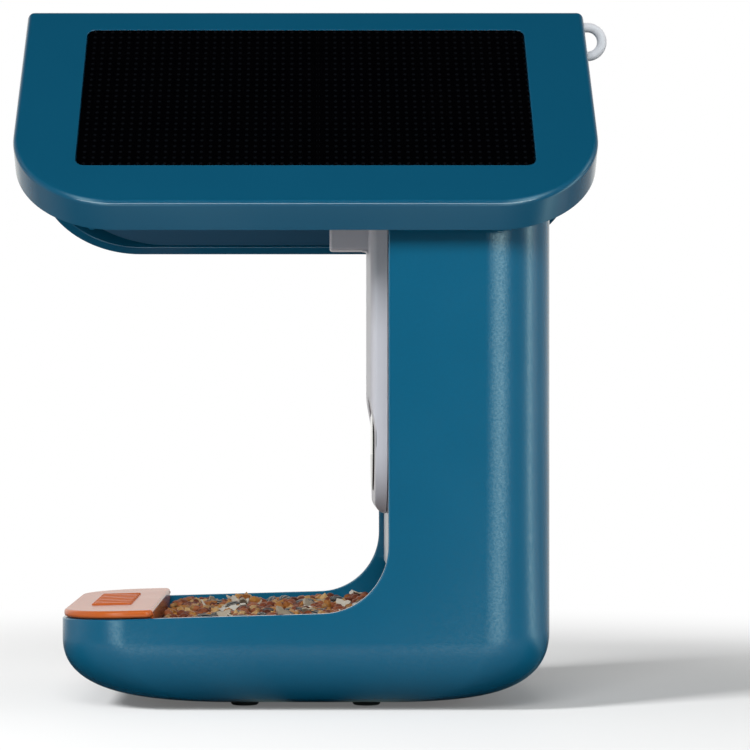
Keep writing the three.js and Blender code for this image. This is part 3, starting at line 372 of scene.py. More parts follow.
def solder_mask(name):
    """A circuit board's green lacquer, with copper traces that show through as a paler green."""
    material, tree, shader = start_material(name, Roughness=0.32, IOR=1.5)
    place = add_node(tree, "ShaderNodeTexCoord").outputs["Object"]
    traces = add_node(
        tree, "ShaderNodeTexBrick",
        {"Scale": 1 / (9 * MM), "Mortar Size": 0.06, "Color1": linear(0x1D5B3A),
         "Color2": linear(0x1A5537), "Mortar": linear(0x3B8257)},
        {"Vector": place})
    tree.links.new(traces.outputs["Color"], shader.inputs["Base Color"])
    return material


board_mask = solder_mask("board_solder_mask")
cell_sleeve = moulded_plastic("cell_pvc_shrink_sleeve", 0x2C6D8E, 0.3, grain=3, depth=0.02)
print("boards:", board_mask.name, cell_sleeve.name)

# %% [markdown]
# ## The seeds' skins
#
# A wild-bird mix is milo, millet, cracked maize, sunflower and a few oat flakes. Each grain
# has its own shade, so every seed mesh carries a number from 0 to 1 in an attribute named
# seed_tint, the same over one grain, and the material reads its colour from a ramp. A second
# attribute, seed_stripe, is the angle round the seed: it draws the sunflower's pale stripes.

# %% Seed materials


def seed_skin(name, colours, roughness, stripes=None):
    """A dry husk: colours from the darkest grain to the palest, stripes as a pale hex colour."""
    material, tree, shader = start_material(name, IOR=1.45, Roughness=roughness)
    tint = add_node(tree, "ShaderNodeAttribute", {"attribute_name": "seed_tint"}).outputs["Fac"]
    ramp = add_node(tree, "ShaderNodeValToRGB", {}, {"Fac": tint})
    stops = ramp.color_ramp.elements
    while len(stops) < len(colours):
        stops.new(0.5)
    for step, shade_of_husk in enumerate(colours):
        stops[step].position = step / (len(colours) - 1)
        stops[step].color = linear(shade_of_husk)
    place = add_node(tree, "ShaderNodeTexCoord").outputs["Object"]
    husk = add_node(
        tree, "ShaderNodeTexNoise", {"Scale": 1 / (1.1 * MM), "Detail": 3.0}, {"Vector": place})
    mottle = add_node(
        tree, "ShaderNodeMix", {"data_type": "RGBA", "blend_type": "MULTIPLY", 0: 0.35},
        {6: ramp, 7: husk})
    colour = mottle.outputs[2]
    if stripes is not None:
        angle = add_node(tree, "ShaderNodeAttribute", {"attribute_name": "seed_stripe"})
        wave = add_node(
            tree, "ShaderNodeMath", {"operation": "PINGPONG", 1: 0.5}, {0: angle.outputs["Fac"]})
        band = add_node(
            tree, "ShaderNodeMapRange", {"From Min": 0.3, "From Max": 0.4}, {"Value": wave})
        striped = add_node(
            tree, "ShaderNodeMix", {"data_type": "RGBA", 7: linear(stripes)}, {0: band, 6: colour})
        colour = striped.outputs[2]
    bump = add_node(
        tree, "ShaderNodeBump", {"Strength": 0.5, "Distance": 0.1 * MM}, {"Height": husk})
    tree.links.new(colour, shader.inputs["Base Color"])
    tree.links.new(bump.outputs["Normal"], shader.inputs["Normal"])
    return material


milo_skin = seed_skin("milo_husk_red_brown", (0x54281A, 0x82432A, 0xA8643F), 0.5)
millet_skin = seed_skin("millet_husk_tan", (0x8A6238, 0xAE8250, 0xC9A878), 0.45)
sunflower_skin = seed_skin(
    "sunflower_husk_striped", (0x25272B, 0x3C3E42, 0x5A5C5E), 0.5, stripes=0x8C8880)
maize_skin = seed_skin("maize_cracked_kernel", (0x9A5A26, 0xB9803F, 0xD2AE78), 0.5)
flake_skin = seed_skin("oat_flake_pressed", (0xA89A84, 0xC4B9A6, 0xDEDAD0), 0.6)
# The bed is the seed below the top grains, in colours darker than most grains': painted shade for
# the gaps between them.
bed_skin_painted_shade = seed_skin("seed_mix_heaped_painted_shade", (0x3A2216, 0x5E3822, 0x7C5232), 0.7)
seed_skins = (milo_skin, millet_skin, sunflower_skin, maize_skin, flake_skin, bed_skin_painted_shade)
print("seed skins:", [m.name for m in seed_skins])

# %% [markdown]
# ## Building meshes from outlines
#
# Nearly every moulding here is an outline pushed along one direction, with its edges rounded
# by the mould. The helpers below work as that drawing does: an outline that can be drawn in
# by an inset, a stack of such outlines that rolls over each edge, and a skin over the stack.
# A place function turns the drawing into its plane: seen from the side, from the front, from
# above, or lying on one slope of the roof.

# %% Outlines and planes


def turn_points(u, v, radius, start, end, steps):
    """Points on an arc from one angle to another, in quarter turns."""
    angles = [(start + (end - start) * step / steps) * QUARTER for step in range(steps + 1)]
    return [(u + radius * math.cos(a), v + radius * math.sin(a)) for a in angles]


def rounded_rectangle(u_low, u_high, v_low, v_high, low_radius, high_radius=None, steps=12):
    """An outline with its own radius at the low and at the high corners, drawn in by an inset."""
    high = low_radius if high_radius is None else high_radius

    def outline(inset=0.0):
        low_turn = max(low_radius - inset, 0.02)
        high_turn = max(high - inset, 0.02)
        left, right = u_low + inset, u_high - inset
        below, above = v_low + inset, v_high - inset
        return [
            *turn_points(right - low_turn, below + low_turn, low_turn, -1, 0, steps),
            *turn_points(right - high_turn, above - high_turn, high_turn, 0, 1, steps),
            *turn_points(left + high_turn, above - high_turn, high_turn, 1, 2, steps),
            *turn_points(left + low_turn, below + low_turn, low_turn, 2, 3, steps)]

    return outline


def from_side(u, v, w):
    """A drawing of a side view: u is X, v is Z."""
    return u, w, v


def from_front(u, v, w):
    """A drawing of a front view: u is Y, v is Z."""
    return w, u, v


def from_above(u, v, w):
    """A drawing of a plan: u is X, v is Y."""
    return u, v, w


# The line where both slopes would meet; the ridge itself is rounded a little below it
RIDGE_HEIGHT = 259.5
SLOPE_COS = math.cos(math.pi / 4)


def on_slope(side):
    """Places a drawing on one slope: u along the ridge, v down the slope, w out of it."""

    def place(u, v, w):
        return u, side * SLOPE_COS * (v + w), RIDGE_HEIGHT - SLOPE_COS * (v - w)

    return place


print("a point 10 mm down the slope:", [round(c, 2) for c in on_slope(1)(0, 10, 0)])

# %% Skins, prisms and turned forms


def mesh_piece(name, points, faces):
    """A mesh object in the drawing's millimetres, with its faces turned outward."""
    mesh = bpy.data.meshes.new(name)
    mesh.from_pydata(points, [], faces)
    shape = bmesh.new()
    shape.from_mesh(mesh)
    bmesh.ops.recalc_face_normals(shape, faces=shape.faces)
    shape.to_mesh(mesh)
    shape.free()
    piece = bpy.data.objects.new(name, mesh)
    bpy.context.scene.collection.objects.link(piece)
    return piece


def skin(name, rings):
    """A closed skin over rings with the same number of points, with a flat face at each end."""
    count = len(rings[0])
    points = [point for ring in rings for point in ring]
    faces = [
        (level * count + k, level * count + (k + 1) % count,
         (level + 1) * count + (k + 1) % count, (level + 1) * count + k)
        for level in range(len(rings) - 1) for k in range(count)]
    last = (len(rings) - 1) * count
    faces += [tuple(range(count - 1, -1, -1)), tuple(range(last, last + count))]
    return mesh_piece(name, points, faces)


def prism(name, outline, low, high, place, edge=0.0, steps=4):
    """An outline pushed from low to high, with its edges rounded to a radius."""
    if not edge:
        return skin(name, [[place(u, v, w) for u, v in outline(0.0)] for w in (low, high)])
    turns = [QUARTER * step / steps for step in range(steps + 1)]
    stack = [(edge * (1 - math.sin(t)), low + edge * (1 - math.cos(t))) for t in turns]
    stack += [(edge * (1 - math.sin(t)), high - edge * (1 - math.cos(t))) for t in reversed(turns)]
    return skin(name, [[place(u, v, w) for u, v in outline(inset)] for inset, w in stack])


def turned(name, profile, centre, axis="Z", steps=48):
    """A form turned about an axis: the profile gives (radius, place along the axis) pairs."""
    rings = []
    for radius, along in profile:
        ring = []
        for step in range(steps):
            angle = 4 * QUARTER * step / steps
            u, v = max(radius, 0.002) * math.cos(angle), max(radius, 0.002) * math.sin(angle)
            local = {"X": (along, u, v), "Y": (u, along, v), "Z": (u, v, along)}[axis]
            ring.append(tuple(c + d for c, d in zip(centre, local)))
        rings.append(ring)
    return skin(name, rings)


def block(name, x, y, z):
    """A plain cutter from three (low, high) pairs."""
    return prism(name, rounded_rectangle(*x, *y, 0, steps=1), *z, from_above)


print("helpers ready: skin, prism, turned, block")

# %% [markdown]
# ## Cutting, joining and settling
#
# The mouldings have pockets, holes and bosses. Boolean modifiers cut and join closed meshes,
# and applying each one at once keeps the chain easy to follow. A cutter always reaches a few
# millimetres past what it cuts, because faces that coincide leave slivers. A moulding then
# gets a small bevel on every edge that the cuts left sharp, because no mould makes a perfectly
# sharp edge and the bevel is what catches a thin line of light. Settling a piece moves it into
# the frame's metres, gives it its material and hangs it on its body.

# %% Booleans, bevels and settling


def apply_modifiers(piece):
    """Bakes a piece's modifiers into its mesh."""
    depsgraph = bpy.context.evaluated_depsgraph_get()
    mesh = bpy.data.meshes.new_from_object(piece.evaluated_get(depsgraph))
    piece.modifiers.clear()
    piece.data = mesh


def combine(piece, operation, *tools):
    """Cuts tools out of a piece, joins them to it or keeps what they share; the tools go."""
    for tool in tools:
        cut = piece.modifiers.new("cut", "BOOLEAN")
        cut.operation = operation
        cut.solver = "MANIFOLD"
        cut.object = tool
        apply_modifiers(piece)
        bpy.data.objects.remove(tool)
    return piece


def soften(piece, width, angle=38, segments=3, spare=lambda point: False):
    """Rounds edges sharper than an angle, in degrees, but none that ends at a spared point."""
    shape = bmesh.new()
    shape.from_mesh(piece.data)
    bmesh.ops.remove_doubles(shape, verts=shape.verts, dist=0.004)
    bmesh.ops.dissolve_degenerate(shape, edges=shape.edges, dist=0.004)
    bmesh.ops.dissolve_limit(
        shape, angle_limit=math.radians(0.3), verts=shape.verts, edges=shape.edges,
        delimit={"SHARP"})
    weight = shape.edges.layers.float.new("bevel_weight_edge")
    for edge in shape.edges:
        sharp = edge.calc_face_angle(0) > math.radians(angle)
        edge[weight] = float(sharp and not any(spare(vert.co) for vert in edge.verts))
    shape.to_mesh(piece.data)
    shape.free()
    bevel = piece.modifiers.new("edges", "BEVEL")
    bevel.width = width
    bevel.segments = segments
    bevel.limit_method = "WEIGHT"
    bevel.use_clamp_overlap = False
    bevel.miter_outer = "MITER_ARC"
    apply_modifiers(piece)
    return piece


def shade(piece, angle=32):
    """Smooth shading, with hard edges where faces meet at more than an angle in degrees."""
    shape = bmesh.new()
    shape.from_mesh(piece.data)
    for face in shape.faces:
        face.smooth = True
    for edge in shape.edges:
        paired = len(edge.link_faces) == 2
        edge.smooth = paired and edge.calc_face_angle(0) < math.radians(angle)
    shape.to_mesh(piece.data)
    shape.free()


def settle(piece, body, material, stands_for=(), weighted=True, angle=32):
    """Moves a piece from the drawing into the frame, dresses it and hangs it on a body."""
    piece.data.transform(TO_FRAME)
    shade(piece, angle)
    if weighted:
        piece.modifiers.new("flat_faces", "WEIGHTED_NORMAL").keep_sharp = True
        apply_modifiers(piece)
    piece.data.materials.clear()
    piece.data.materials.append(material)
    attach(piece, body)
    if stands_for:
        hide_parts(*stands_for)
    print(piece.name, "faces:", len(piece.data.polygons))
    return piece


# %% [markdown]
# ## The housing
#
# The tray and the column are one moulding. Its form is a stack of rounded rectangles that
# draw in towards the bottom along a flattened ellipse, faster at the front than at the sides.
# The same stack drawn in by the wall's 3 mm is the hollow. A side-view cutter opens the
# front: the tray's rim, which rises a little towards the column, a round fillet, and the
# column's straight front edge. A gable-shaped cutter takes the top down to the roof.

# %% The housing's sizes
TRAY_FRONT = -88.5
COLUMN_FRONT = 29.4
COLUMN_REAR = 88.8
HALF_WIDTH = 62
BOTTOM = 1.4
WALL = 3
CORNER = 25
# The curves below run over a length along the bottom and a height up the wall
FRONT_CURVE = (49.3, 24.6)
REAR_CURVE = (43, 27)
SIDE_CURVE = (30, 24.6)
CURVE_POWER = 2.4
# The rim's height is given at one place on it
RIM_PLACE = -26
RIM_HEIGHT = 34.6
RIM_SLOPE = 0.028
RIM_FILLET = 24
# The roof's slabs, square to their slope, and the line where their undersides would meet
SLAB = 12.7
UNDERSIDE_APEX = RIDGE_HEIGHT - SLAB / SLOPE_COS


def rim_at(x):
    """The height of the tray's rim."""
    return RIM_HEIGHT + (x - RIM_PLACE) * RIM_SLOPE


def underside_at(y, gap):
    """The height of a line that runs a gap below the roof's underside."""
    return UNDERSIDE_APEX - gap - abs(y)


print("rim at the tray's front:", round(rim_at(TRAY_FRONT), 1), "mm")
print("roof's underside over the walls:", round(underside_at(HALF_WIDTH, 0), 1), "mm")

# %% The housing's form


def curve_inset(curve, inset, above):
    """How far the bottom curve, (length, height), draws a wall in at a height above its foot."""
    length, height = (size - inset for size in curve)
    drop = max(0.0, 1 - above / height)
    return length * (1 - (1 - drop ** CURVE_POWER) ** (1 / CURVE_POWER))


def housing_section(inset, z, steps=20):
    """The housing's plan at a height, drawn in by an inset from its outer face."""
    above = z - BOTTOM - inset
    front = TRAY_FRONT + inset + curve_inset(FRONT_CURVE, inset, above)
    rear = COLUMN_REAR - inset - curve_inset(REAR_CURVE, inset, above)
    half = HALF_WIDTH - inset - curve_inset(SIDE_CURVE, inset, above)
    outline = rounded_rectangle(front, rear, -half, half, CORNER - inset, steps=steps)
    return [(x, y, z) for x, y in outline()]


def housing_form(name, inset, top, rings=26):
    """The closed form of the housing's outside, or of its hollow with an inset."""
    curve = REAR_CURVE[1] - inset
    rises = [curve * (1 - math.cos(QUARTER * k / rings)) for k in range(rings + 1)]
    levels = [BOTTOM + inset + rise for rise in rises] + [top]
    return skin(name, [housing_section(inset, z) for z in levels])


def open_front(inset=0.0):
    """Side view of the open space in front of the column."""
    lean = math.atan(RIM_SLOPE)
    centre_x = COLUMN_FRONT - RIM_FILLET
    centre_z = rim_at(centre_x) + RIM_FILLET / math.cos(lean)
    far = TRAY_FRONT - CORNER
    start = -1 + lean / QUARTER
    return [
        (far, rim_at(far)), *turn_points(centre_x, centre_z, RIM_FILLET, start, 0, 22),
        (COLUMN_FRONT, RIDGE_HEIGHT + 4), (far, RIDGE_HEIGHT + 4)]


def gable(half, bottom, gap):
    """Front view of a block under the roof."""
    def outline(inset=0.0):
        return [
            (-half, bottom), (half, bottom), (half, underside_at(half, gap)),
            (0, underside_at(0, gap)), (-half, underside_at(half, gap))]

    return outline


ROOF_GAP = 0.8
housing = housing_form("housing_moulding", 0, RIDGE_HEIGHT)
under_roof = prism("under_roof", gable(HALF_WIDTH + 2, -2, ROOF_GAP), -92, 92, from_front)
combine(housing, "INTERSECT", under_roof)
combine(housing, "DIFFERENCE", housing_form("hollow", WALL, RIDGE_HEIGHT + 2))
print("shell's faces before the details:", len(housing.data.polygons))

# %% [markdown]
# ## The housing's details
#
# Inside stand a boss for the bracket's insert and two ribs that hold the hopper's front
# panel. Behind stand two knuckles of the hinge, each on a foot that grows out of the rear
# wall. Then the space before the column is cut away. The last cuts are the pin's bore, the
# seats of the insert and the feet, and the slots through which rain drains out of the tray.

# %% Bosses, ribs, knuckles and holes
FEET = [(x, y) for x in (-22.3, 22.3) for y in (-31, 31)]
HINGE_X, HINGE_HEIGHT = 93.0, 194.0
HINGE_CENTRE = (HINGE_X, 0, HINGE_HEIGHT)
KNUCKLE = 3.6
KNUCKLE_FOOT = HINGE_HEIGHT - KNUCKLE
PIN_BORE = 1.8
MIDDLE_KNUCKLE = 9
OUTER_KNUCKLE = (MIDDLE_KNUCKLE + SEAT_GAP, MIDDLE_KNUCKLE + SEAT_GAP + 6)
RIB_X, RIB_Y, RIB_Z = (34.3, 36.7), (55.0, 60.5), (48.2, 176.7)
SLOT_WIDTH = 2.4


def cylinder(name, centre, low, high, radius, axis="Z", steps=40):
    """A plain cylinder along an axis."""
    return turned(name, [(radius, low), (radius, high)], centre, axis, steps)


combine(housing, "UNION", cylinder("boss", (0, 0, 0), BOTTOM, BOTTOM + 12, 8))
for side in (-1, 1):
    rib_span = sorted(side * y for y in RIB_Y)
    combine(housing, "UNION", block("rib", RIB_X, rib_span, RIB_Z))
    span = sorted(side * y for y in OUTER_KNUCKLE)
    knuckle = cylinder("knuckle", HINGE_CENTRE, *span, KNUCKLE, "Y")
    foot = block("knuckle_foot", (COLUMN_REAR - 1.5, HINGE_X), span, (KNUCKLE_FOOT, HINGE_HEIGHT))
    combine(housing, "UNION", combine(knuckle, "UNION", foot))
combine(housing, "DIFFERENCE", prism("open_front", open_front, -64, 64, from_side))
combine(
    housing, "DIFFERENCE",
    cylinder("pin_bore", HINGE_CENTRE, -18, 18, PIN_BORE, "Y"),
    cylinder("insert_seat", (0, 0, 0), -1, BOTTOM + 9.3, 4.9),
    *[cylinder("foot_seat", (x, y, 0), -1, BOTTOM + 1.1, 5.45) for x, y in FEET])
for y in (-21, -7, 7, 21):
    half = SLOT_WIDTH / 2
    drain_slot = rounded_rectangle(-41.5, -32.5, y - half, y + half, half, steps=4)
    combine(housing, "DIFFERENCE", prism("drain_slot", drain_slot, -1, 8, from_above))
soften(housing, 0.55)
settle(housing, "root", housing_asa, ["body_housing"])

# %% [markdown]
# ## The roof
#
# The roof is one moulding of two trays that meet at the ridge. Each tray is a plate with
# broad round eave corners: rolled along its top edge, sharp along its underside, hollow below
# with a narrow rim, and with a shallow seat for the solar panel on top. Drawing one tray in
# the plane of its slope and placing it twice keeps both sides the same.

# %% One tray of the roof
ROOF_HALF = 105
SLOPE_LENGTH = 112
TOP_WALL = 3.4
EAVE_CORNER = 38
RIM = 3.8
POCKET_TOP = SLAB + 9
POCKET_FOOT = SLOPE_LENGTH - RIM
COVER_FACE = 0.6 - SLAB
SCREW_PLACES = [(u, v) for u in (-82.7, 82.7) for v in (40.2, 89.7)]
SOLID_SLOPE = Matrix.Translation((0, 0, RIDGE_HEIGHT)) @ Matrix.Rotation(-math.pi / 4, 4, "X")


def slope_matrix(side):
    """Turns a form built about Z into one that stands on a slope of the roof."""
    return Matrix.Rotation(0 if side > 0 else math.pi, 4, "Z") @ SOLID_SLOPE


def roof_tray(side):
    """One slab with its pocket, ribs, bosses and panel seat, cut plumb at the ridge."""
    place = on_slope(side)
    edge = rounded_rectangle(
        -ROOF_HALF, ROOF_HALF, -SLAB - 2, SLOPE_LENGTH, 0, EAVE_CORNER, steps=26)
    tray = prism("roof_moulding", edge, -SLAB - 4, 0, place, edge=1.9, steps=6)
    wide = rounded_rectangle(-210, 210, -210, 210, 0, steps=1)
    # The trays overlap a little at the ridge, so that they join into one
    near, far = sorted((-side * 0.65, side * 210))
    combine(tray, "DIFFERENCE", prism("below", wide, -3 * SLAB, -SLAB, place))
    combine(tray, "INTERSECT", block("own_half", (-210, 210), (near, far), (0, 262)))
    pocket = rounded_rectangle(
        RIM - ROOF_HALF, ROOF_HALF - RIM, POCKET_TOP, POCKET_FOOT, 3.6, EAVE_CORNER - RIM, steps=22)
    combine(tray, "DIFFERENCE", prism("pocket", pocket, -SLAB - 2, -TOP_WALL, place))
    for x in (-50.6, 0, 50.6):
        rib = rounded_rectangle(x - 0.9, x + 0.9, POCKET_TOP - 2, POCKET_FOOT + 2, 0, steps=1)
        combine(tray, "UNION", prism("rib", rib, -TOP_WALL - 3, 0.3 - TOP_WALL, place))
    for u, v in SCREW_PLACES:
        boss = turned("boss", [(3.6, COVER_FACE + 2.5), (3.6, 0.3 - TOP_WALL)], (0, 0, 0))
        boss.data.transform(slope_matrix(side) @ Matrix.Translation((side * u, v, 0)))
        combine(tray, "UNION", boss)
    # Locating pins, which show in the open crescents at the eave corners
    pin_sides = [(1.6, 1.2 - SLAB), (1.6, 0.3 - TOP_WALL)]
    for u in (-86, 86):
        pin = turned("locating_pin", pin_sides, (0, 0, 0), steps=20)
        pin.data.transform(slope_matrix(side) @ Matrix.Translation((u, 98.7, 0)))
        combine(tray, "UNION", pin)
    seat = rounded_rectangle(-81.8, 81.8, 12.4, 91.5, 3.3, steps=6)
    return combine(tray, "DIFFERENCE", prism("panel_seat", seat, -1.6, 2, place))


roof = combine(roof_tray(1), "UNION", roof_tray(-1))
print("both trays:", len(roof.data.polygons), "faces")

# %% [markdown]
# ## The ridge, the hinge's web and the eye's boss
#
# The ridge is one long round, and its ends roll down to the rounded edges of the slabs. A web
# behind the column carries the hinge's middle knuckle, and a boss takes the hanging eye's
# legs. The slabs' lower edge stays sharp, so the bevel is told to spare it.

# %% Ridge, web and boss
# The ridge's round lies a little below the line where the slopes would meet
RIDGE_ROUND = 2.6
RIDGE_DROP = 1.08
RIDGE_END = 3.2
WEB_FRONT, WEB_REAR = 101.4, 104.4
EYE_X = ROOF_HALF + EYE_GAP
EYE_Z = RIDGE_HEIGHT - 12.1


def on_the_rim(point):
    """Whether a point lies on the slabs' sharp lower edge or at an end of the ridge."""
    down = SLOPE_COS * (abs(point.y) + RIDGE_HEIGHT - point.z)
    out = SLOPE_COS * (abs(point.y) - RIDGE_HEIGHT + point.z)
    corner_x = abs(point.x) - ROOF_HALF + EAVE_CORNER
    corner_v = down - SLOPE_LENGTH + EAVE_CORNER
    turned_in = math.hypot(max(corner_x, 0), max(corner_v, 0))
    outer = turned_in > EAVE_CORNER - 0.05 and out < 0.1 - SLAB
    return outer or (abs(point.x) > ROOF_HALF - 2.5 and point.z > RIDGE_HEIGHT - 7)


def over_the_ridge(inset=0.0):
    """Front view of what lies above the rounded ridge."""
    reach = RIDGE_ROUND * SLOPE_COS
    middle = RIDGE_HEIGHT - RIDGE_ROUND / SLOPE_COS
    return [
        (-reach, RIDGE_HEIGHT + 2), (reach, RIDGE_HEIGHT + 2),
        *turn_points(0, middle, RIDGE_ROUND, 0.5, 1.5, 10)]


def past_the_ridge(end):
    """Side view of what lies beyond the rounded end of the ridge."""
    crest = RIDGE_HEIGHT - RIDGE_DROP
    inner, outer = ROOF_HALF - RIDGE_END, ROOF_HALF + 3
    arc = turn_points(inner, crest - RIDGE_END, RIDGE_END, 0, 1, 8)
    corner = [(inner, crest + 3), (outer, crest + 3), (outer, crest - RIDGE_END), *arc]

    def outline(inset=0.0):
        return [(end * u, v) for u, v in corner]

    return outline


def under_slabs(foot, head, low, grow=1.0):
    """Front view of a web that grows into both undersides: half its width at foot and head."""
    def outline(inset=0.0):
        return [(-foot, low), (foot, low), (head, underside_at(head, -grow)),
                (0, underside_at(0, -grow)), (-head, underside_at(head, -grow))]

    return outline


combine(roof, "DIFFERENCE", prism("ridge_cutter", over_the_ridge, -107, 107, from_front))
for end in (-1, 1):
    combine(roof, "DIFFERENCE", prism("ridge_end", past_the_ridge(end), -6, 6, from_side))
web_shape = under_slabs(MIDDLE_KNUCKLE, 34, KNUCKLE_FOOT)
web = prism("web", web_shape, WEB_FRONT, WEB_REAR, from_front)
span = (-MIDDLE_KNUCKLE, MIDDLE_KNUCKLE)
combine(
    web, "UNION", cylinder("middle_knuckle", HINGE_CENTRE, *span, KNUCKLE, "Y"),
    block("arm", (HINGE_X, WEB_REAR), span, (KNUCKLE_FOOT, HINGE_HEIGHT + KNUCKLE)))
combine(web, "DIFFERENCE", cylinder("pin_bore", HINGE_CENTRE, -11, 11, PIN_BORE, "Y"))
HOLE = EYE_WIRE + SEAT_GAP
boss_foot = EYE_Z - EYE_MEAN - EYE_WIRE - 1.8
eye_boss = prism("eye_boss", under_slabs(4.2, 4.2, boss_foot), 98.5, 103.1, from_front)
combine(roof, "UNION", web, eye_boss)
for side in (-1, 1):
    leg_centre = (0, 0, EYE_Z + side * EYE_MEAN)
    eye_hole = cylinder("eye_hole", leg_centre, EYE_X - EYE_LEG - SEAT_GAP, 107, HOLE, "X")
    combine(roof, "DIFFERENCE", eye_hole)
soften(roof, 0.35, spare=on_the_rim)
settle(roof, "roof", roof_asa, ["roof_shell"])

# %% [markdown]
# ## Covers and their screws
#
# A flat cover closes each tray from below, just inside the rim. Its eave corners are rounder
# than the tray's, so a dark crescent stays open at each corner. Four pan-head screws hold it.
# A screw head is a turned dome with a cross cut into it; a plain disc would give it away.

# %% Covers and screws
COVER_HALF = ROOF_HALF - RIM - SEAT_GAP
COVER_CORNER = 46
COVER_THICKNESS = 2.2


def pan_head_screw(name, radius=2.5, height=1.1):
    """A screw head that stands on Z = 0 and faces down, with its cross recess."""
    shank = [(1.1, 2.0), (1.1, 0.0)]
    dome = [(radius, 0.0)]
    for turn in (QUARTER * k / 5 for k in range(6)):
        dome.append((
            radius - 0.7 * (1 - math.cos(turn)),
            -height * 0.45 - height * 0.55 * math.sin(turn)))
    screw = turned(name, [*shank, *dome, (0.01, -height * 1.02)], (0, 0, 0), steps=28)
    for angle in (0, QUARTER):
        slot = block("slot", (-1.35, 1.35), (-0.3, 0.3), (-height - 1, -height + 0.65))
        slot.data.transform(Matrix.Rotation(angle + 0.4, 4, "Z"))
        combine(screw, "DIFFERENCE", slot)
    return screw


for side, label in ((1, "left"), (-1, "right")):
    shape = rounded_rectangle(
        -COVER_HALF, COVER_HALF, POCKET_TOP + SEAT_GAP, POCKET_FOOT - SEAT_GAP, 3.3,
        COVER_CORNER, steps=24)
    cover = prism(
        f"roof_cover_{label}_plate", shape, COVER_FACE, COVER_FACE + COVER_THICKNESS,
        on_slope(side), edge=0.35, steps=3)
    settle(cover, "roof", cover_asa, [f"roof_cover_{label}"])
    for number, (u, v) in enumerate(SCREW_PLACES):
        screw = pan_head_screw(f"cover_screw_{label}_{number + 1}")
        screw.data.transform(slope_matrix(side) @ Matrix.Translation((side * u, v, COVER_FACE)))
        settle(screw, "roof", screw_steel, angle=40)

# %% [markdown]
# ## The camera module
#
# The module is a pale tub in two shells. Seen from the front it has round lower corners and a
# gable that follows the roof, cut flat below the ridge. Its front edge is rolled. The lower
# half of the face steps back to keep rain off the lens window, and a narrow block under the
# ridge is the grip by which the module is drawn out of its dock.

# %% The module's outlines
MODULE_FRONT = 23.7
MODULE_REAR = 52
MODULE_HALF = 35
MODULE_FOOT = 69.3
MODULE_CORNER = 25
MODULE_WALL = 2
MODULE_GAP = 1.2
MODULE_TOP = UNDERSIDE_APEX - 10.5
PARTING = 30
LOWER_FACE = MODULE_FRONT + 1.9
LENS_HEIGHT = 95
LENS_CENTRE = (0, 0, LENS_HEIGHT)
CONTROL_HEIGHT = 182
HEAD_FOOT = 168.2


def module_outline(shrink=0.0):
    """Front view of the module, drawn in by a fixed amount for its hollow."""
    def outline(inset=0.0):
        inset += shrink
        half, foot, radius = MODULE_HALF - inset, MODULE_FOOT + inset, MODULE_CORNER - inset
        # A sloping face draws in faster than an upright one
        gap = MODULE_GAP + inset * 1.2
        top = MODULE_TOP - inset
        top_half = UNDERSIDE_APEX - gap - top
        return [
            *turn_points(half - radius, foot + radius, radius, -1, 0, 18),
            (half, underside_at(half, gap)), (top_half, top), (-top_half, top),
            (-half, underside_at(half, gap)),
            *turn_points(radius - half, foot + radius, radius, 2, 3, 18)]

    return outline


def face_profile(inset=0.0):
    """Side view of the face: chin, lower half, and the step out to the upper half."""
    low, high, chin = 99.0, 114.0, 5.0
    step = []
    for k in range(13):
        share = k / 12
        ease = share * share * (3 - 2 * share)
        step.append((LOWER_FACE + (MODULE_FRONT - LOWER_FACE) * ease, low + (high - low) * share))
    return [
        (MODULE_REAR + 4, MODULE_FOOT - 2), (LOWER_FACE + chin, MODULE_FOOT - 2),
        *turn_points(LOWER_FACE + chin, MODULE_FOOT + chin, chin, 3, 2, 10), *step,
        (MODULE_FRONT - 2, high + 2), (MODULE_FRONT - 2, RIDGE_HEIGHT),
        (MODULE_REAR + 4, RIDGE_HEIGHT)]


def head_fillet(inset=0.0):
    """Side view of the small round below the head block."""
    radius = 2.2
    inside, outside = MODULE_FRONT + 1, MODULE_FRONT - radius
    return [
        (inside, HEAD_FOOT + 1), (outside, HEAD_FOOT + 1), (outside, HEAD_FOOT),
        *turn_points(outside, HEAD_FOOT - radius, radius, 1, 0, 6), (inside, HEAD_FOOT - radius)]


def whole_module(name):
    """The module's closed form, before it is parted into two shells."""
    return prism(name, module_outline(), MODULE_FRONT, MODULE_REAR, from_front, edge=2.6, steps=7)


def within_profile(piece):
    """Keeps what lies behind the face's stepped profile."""
    return combine(piece, "INTERSECT", prism("face_profile", face_profile, -60, 60, from_side))


def module_hollow(low, high):
    """The room inside the walls, from low to high."""
    return prism("hollow", module_outline(MODULE_WALL), low, high, from_front)


print("the face steps back by", round(LOWER_FACE - MODULE_FRONT, 1), "mm")

# %% The module's front shell
face = whole_module("module_face")
combine(face, "INTERSECT", block("front_part", (0, PARTING), (-60, 60), (0, 260)))
combine(within_profile(face), "DIFFERENCE", module_hollow(LOWER_FACE + MODULE_WALL, PARTING + 2))
head_outline = rounded_rectangle(-5.6, 5.6, HEAD_FOOT, 190, 1.15, steps=5)
head = prism("head", head_outline, 9.1, LOWER_FACE, from_front, edge=1.05, steps=5)
ledge = cylinder("ledge", LENS_CENTRE, LOWER_FACE, 29.2, 20.1, "X", 72)
combine(
    face, "UNION", head, prism("head_fillet", head_fillet, -4.8, 4.8, from_side),
    within_profile(ledge))
port_outline = rounded_rectangle(13.2, 22.8, 180.0, 184.0, 1.95, steps=5)
flap_seat_outline = rounded_rectangle(10.7, 25.3, 178.0, 186.0, 0.9, steps=4)
combine(
    face, "DIFFERENCE",
    cylinder("window_seat", LENS_CENTRE, 20, 27.4, 17.8, "X", 72),
    cylinder("window_hole", LENS_CENTRE, 22, 31, 14.9, "X", 72),
    cylinder("button_hole", (0, -18, CONTROL_HEIGHT), 20, 30, 4.3, "X"),
    prism("port_hole", port_outline, 23, 30, from_front),
    prism("flap_seat", flap_seat_outline, 20, 25.3, from_front))
soften(face, 0.3)
